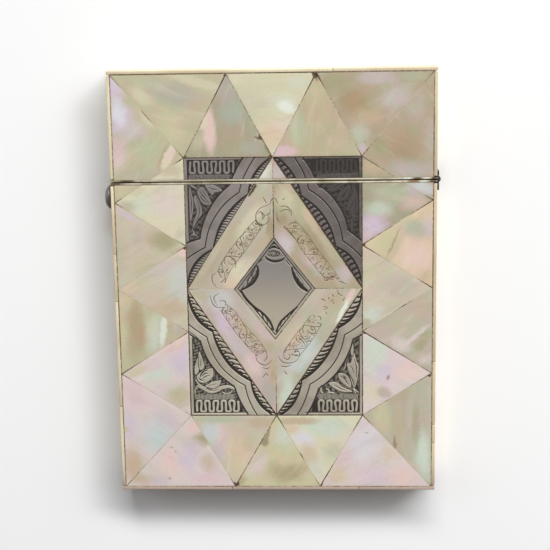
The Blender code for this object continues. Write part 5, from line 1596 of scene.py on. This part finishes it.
def make_corners():
    """The panel's four engraved plates."""
    for name, outline in panel_quarters("metal_corner").items():
        look = name.removeprefix("metal_corner_")
        end, side = (SIGNS[word] for word in look.split("_"))

        def art(x, y):
            return engrave_corner(side * x, end * (y - PANEL_MIDDLE), CORNERS[look])

        carved_plates(name, outline, "engraved", PLATE_GRID, lambda share: engraved_face(share, art),
                      engraved_metal(f"engraved_{look}", *METAL_TINTS[look]))


def make_diamond():
    """The four limbs of the pearl diamond, with their scrolls."""
    for seed, (name, outline) in enumerate(panel_quarters("diamond_strip").items()):
        look = name.removeprefix("diamond_strip_")

        def art(x, y):
            return engrave_scrolls(x, y, look, seed)

        carved_plates(name, outline, "pearl", STRIP_GRID, lambda share: engraved_face(share, art),
                      pearl(f"pearl_strip_{look}", *STRIP_LOOKS[look]))


def make_cartouche():
    """The small engraved diamond in the middle of the panel."""
    material = engraved_metal("engraved_cartouche", *CARTOUCHE_TINTS, fade=CARTOUCHE_FADE)
    carved_plates("cartouche", cartouche_outline(), "engraved", PLATE_GRID,
                  lambda share: engraved_face(share, engrave_cartouche), material)


# The back

# The base colour of each kind of pearl on the back, the turn of its grain and its other tints
BACK_LOOKS = [("linen", 20, ("pink", "mint", "khaki")), ("blush", -35, ("lavender", "blue", "tan")),
              ("oat", 70, ("green", "rose", "cream")), ("cream", 10, ("peach", "mint", "lilac")),
              ("sand", -60, ("olive", "lilac", "straw"))]
BACK_SEEDS = 200           # the first of the numbers from which the back's tiles get their waves


def back_outlines():
    """All of the front's outlines, which the back's tiles have too."""
    return [*mosaic_tiles().values(), *panel_quarters("metal_corner").values(),
            *panel_quarters("diamond_strip").values(), cartouche_outline()]


def make_back():
    """The back's plain pearl tiles, in the same layout."""
    materials = [pearl(f"pearl_back_{k}", base, grain, drifts=drifts)
                 for k, (base, grain, drifts) in enumerate(BACK_LOOKS)]
    back_high = corners_of("back_veneer_body")[1].z
    wholes = {body: bmesh.new() for body in ("body", "lid")}
    for index, outline in enumerate(back_outlines()):
        for body, share in shares_of(inset(outline, BACK_GAP)):
            tile = carved_sheet(share, BACK_GRID, worn_face(share, BACK_SEEDS + index), 0.0, back_high,
                                smooth=False)
            bmesh.ops.recalc_face_normals(tile, faces=tile.faces)
            for polygon in tile.faces:
                polygon.material_index = (index * 3 + index // 4) % len(BACK_LOOKS)
            add_mesh(wholes[body], tile)
    for body, whole in wholes.items():
        bmesh.ops.transform(whole, verts=whole.verts, matrix=Matrix.Scale(MM, 4))
        finish_mesh(f"back_veneer_{body}_pearl", whole, materials, body,
                    [f"back_veneer_{body}"])


# Bone edging, rims, hinge, button and carcass

# For each bone strip, the axis along it and the places where two of its lengths meet
BONE_JOINTS = {"edge_body_left": (1, (8.2, -3.6, -30.6)), "edge_body_right": (1, (-19.3, -35.4, -40.3)),
               "edge_lid_top": (0, (14.6,)), "edge_lid_left": (1, ()), "edge_lid_right": (1, ()),
               "edge_body_bottom": (0, (-11.5, 20.4))}
BONE_JOINT_GAP = 0.12
BONE_ROUNDING = 0.14


def make_edging(material):
    """The bone strips of the narrow sides, each made of a few lengths."""
    for node, (axis, joints) in BONE_JOINTS.items():
        low, high = corners_of(node)
        stops = [low[axis] - 1] + sorted(joints) + [high[axis] + 1]
        whole = bmesh.new()
        for start, end in zip(stops, stops[1:]):
            add_length(whole, node, axis, start + BONE_JOINT_GAP / 2, end - BONE_JOINT_GAP / 2)
        finish_mesh(f"{node}_bone", whole, material, body_of(node), [node])


def add_length(whole, node, axis, start, end):
    """One length of a bone strip, cut square between two places along it."""
    bm = copy_of_node(node)
    for place, side in ((start, -1), (end, 1)):
        spot, normal = Vector((0, 0, 0)), Vector((0, 0, 0))
        spot[axis], normal[axis] = place * MM, side
        cut = bmesh.ops.bisect_plane(
            bm, geom=bm.verts[:] + bm.edges[:] + bm.faces[:], dist=SOLID_NEAR,
            plane_co=spot, plane_no=normal, clear_outer=True)["geom_cut"]
        edges = [item for item in cut if isinstance(item, bmesh.types.BMEdge)]
        if edges:
            bmesh.ops.edgeloop_fill(bm, edges=edges)
    soften(bm, BONE_ROUNDING, segments=3)
    add_mesh(whole, bm)


# The button's profile. Its edge is given as steps back from the rim and out from the button's radius
BUTTON_RIM = 1.15          # from the button's face back to its widest part
BUTTON_EDGE = [(-0.18, -0.33), (-0.2, -0.12), (-0.12, -0.03), (0, 0), (0.3, 0), (0.42, -0.1)]
DOME_INSET, DOME_DROP, DOME_STEPS = 0.35, 0.25, 12
BUTTON_CLEARANCE = 0.6     # between the button's foot and the bone
BUTTON_FOOT_INSET = 0.9
STEM_RADIUS = 0.95
BUTTON_STEPS = 72


def make_button(material):
    """The catch's button, turned with a flat rim and a shallow dome."""
    low, high = corners_of("push_button")
    centre_y, centre_z = (low.y + high.y) / 2, (low.z + high.z) / 2
    radius = (high.y - low.y) / 2
    face, root = low.x, high.x
    rim, foot = face + BUTTON_RIM, -BONE_OUTER_X - BUTTON_CLEARANCE
    profile = [(face, 0)]
    for step in range(1, DOME_STEPS + 1):
        angle = step / DOME_STEPS * math.pi / 2
        profile.append((face + (rim - face - DOME_DROP) * (1 - math.cos(angle)),
                        (radius - DOME_INSET) * math.sin(angle)))
    profile += [(rim + back, radius + out) for back, out in BUTTON_EDGE]
    profile += [(foot, radius - BUTTON_FOOT_INSET), (foot, STEM_RADIUS), (root, STEM_RADIUS), (root, 0)]
    bm = bmesh.new()
    verts = [bm.verts.new((x * MM, (centre_y + r) * MM, centre_z * MM)) for x, r in profile]
    edges = [bm.edges.new(pair) for pair in zip(verts, verts[1:])]
    bmesh.ops.spin(bm, geom=verts + edges, cent=(0, centre_y * MM, centre_z * MM), axis=(1, 0, 0),
                   angle=2 * math.pi, steps=BUTTON_STEPS, use_duplicate=False)
    bmesh.ops.remove_doubles(bm, verts=bm.verts, dist=SOLID_NEAR)
    shade_smooth(bm)
    finish_mesh("push_button_turned", bm, material, "button", ["push_button"])


RIM_CLOUD_DEPTH = 1.6       # how far below the front a rim's marks and painted highlights reach
# Clouds along each rim: the white ones are painted highlights on the polished metal, the others are marks
# on it
BODY_RIM_MARKS_AND_HIGHLIGHTS = [
    (-38.4, SEAM, 1.8, 2, 0, "grime", 0.8), (-30.5, SEAM, 1.3, 2, 0, "smear", 0.7),
    (-16, SEAM, 3, 2, 0, "smear", 0.35), (33.6, SEAM, 1.3, 2, 0, "rust", 0.85),
    (36, SEAM, 0.9, 2, 0, "white", 0.7), (38.4, SEAM, 0.9, 2, 0, "grime", 0.9)]
LID_RIM_MARKS_AND_HIGHLIGHTS = [
    (-37.5, SEAM, 2, 2, 0, "olive", 0.8), (-35.2, SEAM, 1.6, 2, 0, "grime", 0.85),
    (-22, SEAM, 5, 2, 0, "khaki", 0.6), (32.2, SEAM, 0.9, 2, 0, "white", 0.95),
    (34.7, SEAM, 0.9, 2, 0, "grime", 0.9), (36.8, SEAM, 0.7, 2, 0, "white", 0.6),
    (38.7, SEAM, 0.7, 2, 0, "grime", 0.95)]


def body_of(node):
    return "lid" if "lid" in node else "body"


def make_fitting(node, ending, rounding, material):
    """A CAD node's own form, its edges a little rounded."""
    bm = copy_of_node(node)
    soften(bm, rounding)
    finish_mesh(f"{node}_{ending}", bm, material, body_of(node), [node])


def make_fittings():
    """The rims, collar, hinge, button, carcass and bone edging."""
    body_rim = plain_metal("rim_cream_metal", "rim cream", "rim tan", 0.38, 0.3, BODY_RIM_MARKS_AND_HIGHLIGHTS)
    # The lid's rim is the same metal as the body's; its greyer, more olive colour is painted shade
    lid_rim = plain_metal("rim_olive_painted_shade_metal", "rim olive", "rim tan", 0.4, 0.3, LID_RIM_MARKS_AND_HIGHLIGHTS)
    collar = plain_metal("collar_metal", "rim cream", "rim tan", 0.38, 0.5)
    hinge = plain_metal("dark_hinge_metal", "hinge", "hinge shade", 0.42, 0.6)
    make_fitting("body_rim", "metal", 0.12, body_rim)
    make_fitting("lid_rim", "metal", 0.12, lid_rim)
    make_fitting("closing_collar", "metal", 0.08, collar)
    for node, rounding in (("hinge_leaf_body", 0.08), ("hinge_leaf_lid", 0.08), ("hinge_pin", 0.05)):
        make_fitting(node, "metal", rounding, hinge)
    make_button(plain_metal("button_metal", "button", "button shade", 0.42, 0.5))
    timber = wood()
    for node in ("case_body", "case_lid"):
        make_fitting(node, "wood", 0.15, timber)
    make_edging(bone())


# Stage

# Where the photograph was taken from, in millimetres, and the camera's own axes
CAMERA_PLACE = (14.91, 67.22, 319.91)
CAMERA_AXES = ((0.998893, -0.016126, -0.044192), (0.006792, 0.979004, -0.20373),
               (0.04655, 0.203204, 0.978029))
CLIP_START, CLIP_END = 0.01, 20
FLOOR_SIZE = 3             # half its width in metres
FLOOR_TONES = ((0.95, 0.95, 0.95), (0.97, 0.97, 0.97))
WORLD_STRENGTH = 0.1
# Each light's direction from the case, its distance and size in metres, and its power in watts
LIGHTS = {"key": ((0.45, 1.2, 1.0), 1.8, (1.96, 0.33), 38.6),
          "right_fill": ((1.0, 0.6, 0.8), 1.2, (0.8, 0.8), 4.5),
          "left_fill": ((-1.0, 0.5, 0.8), 1.2, (0.8, 0.8), 2.5)}
PHOTO_SIZE = 550
FOCAL_PIXELS = 1300        # the lens's focal length, in the photograph's pixels
SENSOR = 36


def make_camera():
    """The photograph's view, from above the front and a little towards the lid."""
    data = bpy.data.cameras.new("camera")
    data.sensor_width = SENSOR
    data.lens = SENSOR * FOCAL_PIXELS / PHOTO_SIZE
    data.clip_start, data.clip_end = CLIP_START, CLIP_END
    camera = add_object("camera", data)
    turn = Matrix(CAMERA_AXES).transposed().to_4x4()
    camera.matrix_world = Matrix.Translation(Vector(CAMERA_PLACE) * MM) @ turn
    bpy.context.scene.camera = camera


def make_light(name, direction, distance, size, power):
    """A rectangular light in a direction from the case, facing it."""
    data = bpy.data.lights.new(name, "AREA")
    data.shape = "RECTANGLE"
    data.size, data.size_y = size
    data.energy = power
    light = add_object(name, data)
    direction = Vector(direction).normalized()
    light.location = direction * distance
    light.rotation_mode = "QUATERNION"
    light.rotation_quaternion = direction.to_track_quat("Z", "Y")


def make_floor():
    """A plain pale floor under the case."""
    bm = bmesh.new()
    bmesh.ops.create_grid(bm, x_segments=1, y_segments=1, size=FLOOR_SIZE)
    mesh = bpy.data.meshes.new("floor")
    bm.to_mesh(mesh)
    bm.free()
    surface = Surface("pale_floor", 0.9)
    grain = surface.noise(0.02, 2, 0.5)
    surface.feed(Base_Color=surface.mix(*FLOOR_TONES, grain))
    surface.set(Specular_IOR_Level=0.1)
    mesh.materials.append(surface.material)
    floor = add_object("floor", mesh)
    floor.location.z = CAD_BOX[0].z


def make_world():
    """A faint even light from all round."""
    world = bpy.data.worlds.new("studio")
    world.use_nodes = True
    background = world.node_tree.nodes["Background"]
    background.inputs["Color"].default_value = (1, 1, 1, 1)
    background.inputs["Strength"].default_value = WORLD_STRENGTH
    bpy.context.scene.world = world


def make_stage():
    """The camera, the floor and the light."""
    make_camera()
    make_floor()
    make_world()
    for name, settings in LIGHTS.items():
        make_light(name, *settings)
    bpy.context.scene.view_settings.view_transform = "Standard"


make_stage()
make_border()
make_corners()
make_diamond()
make_cartouche()
make_dirt_lines()
make_back()
make_fittings()
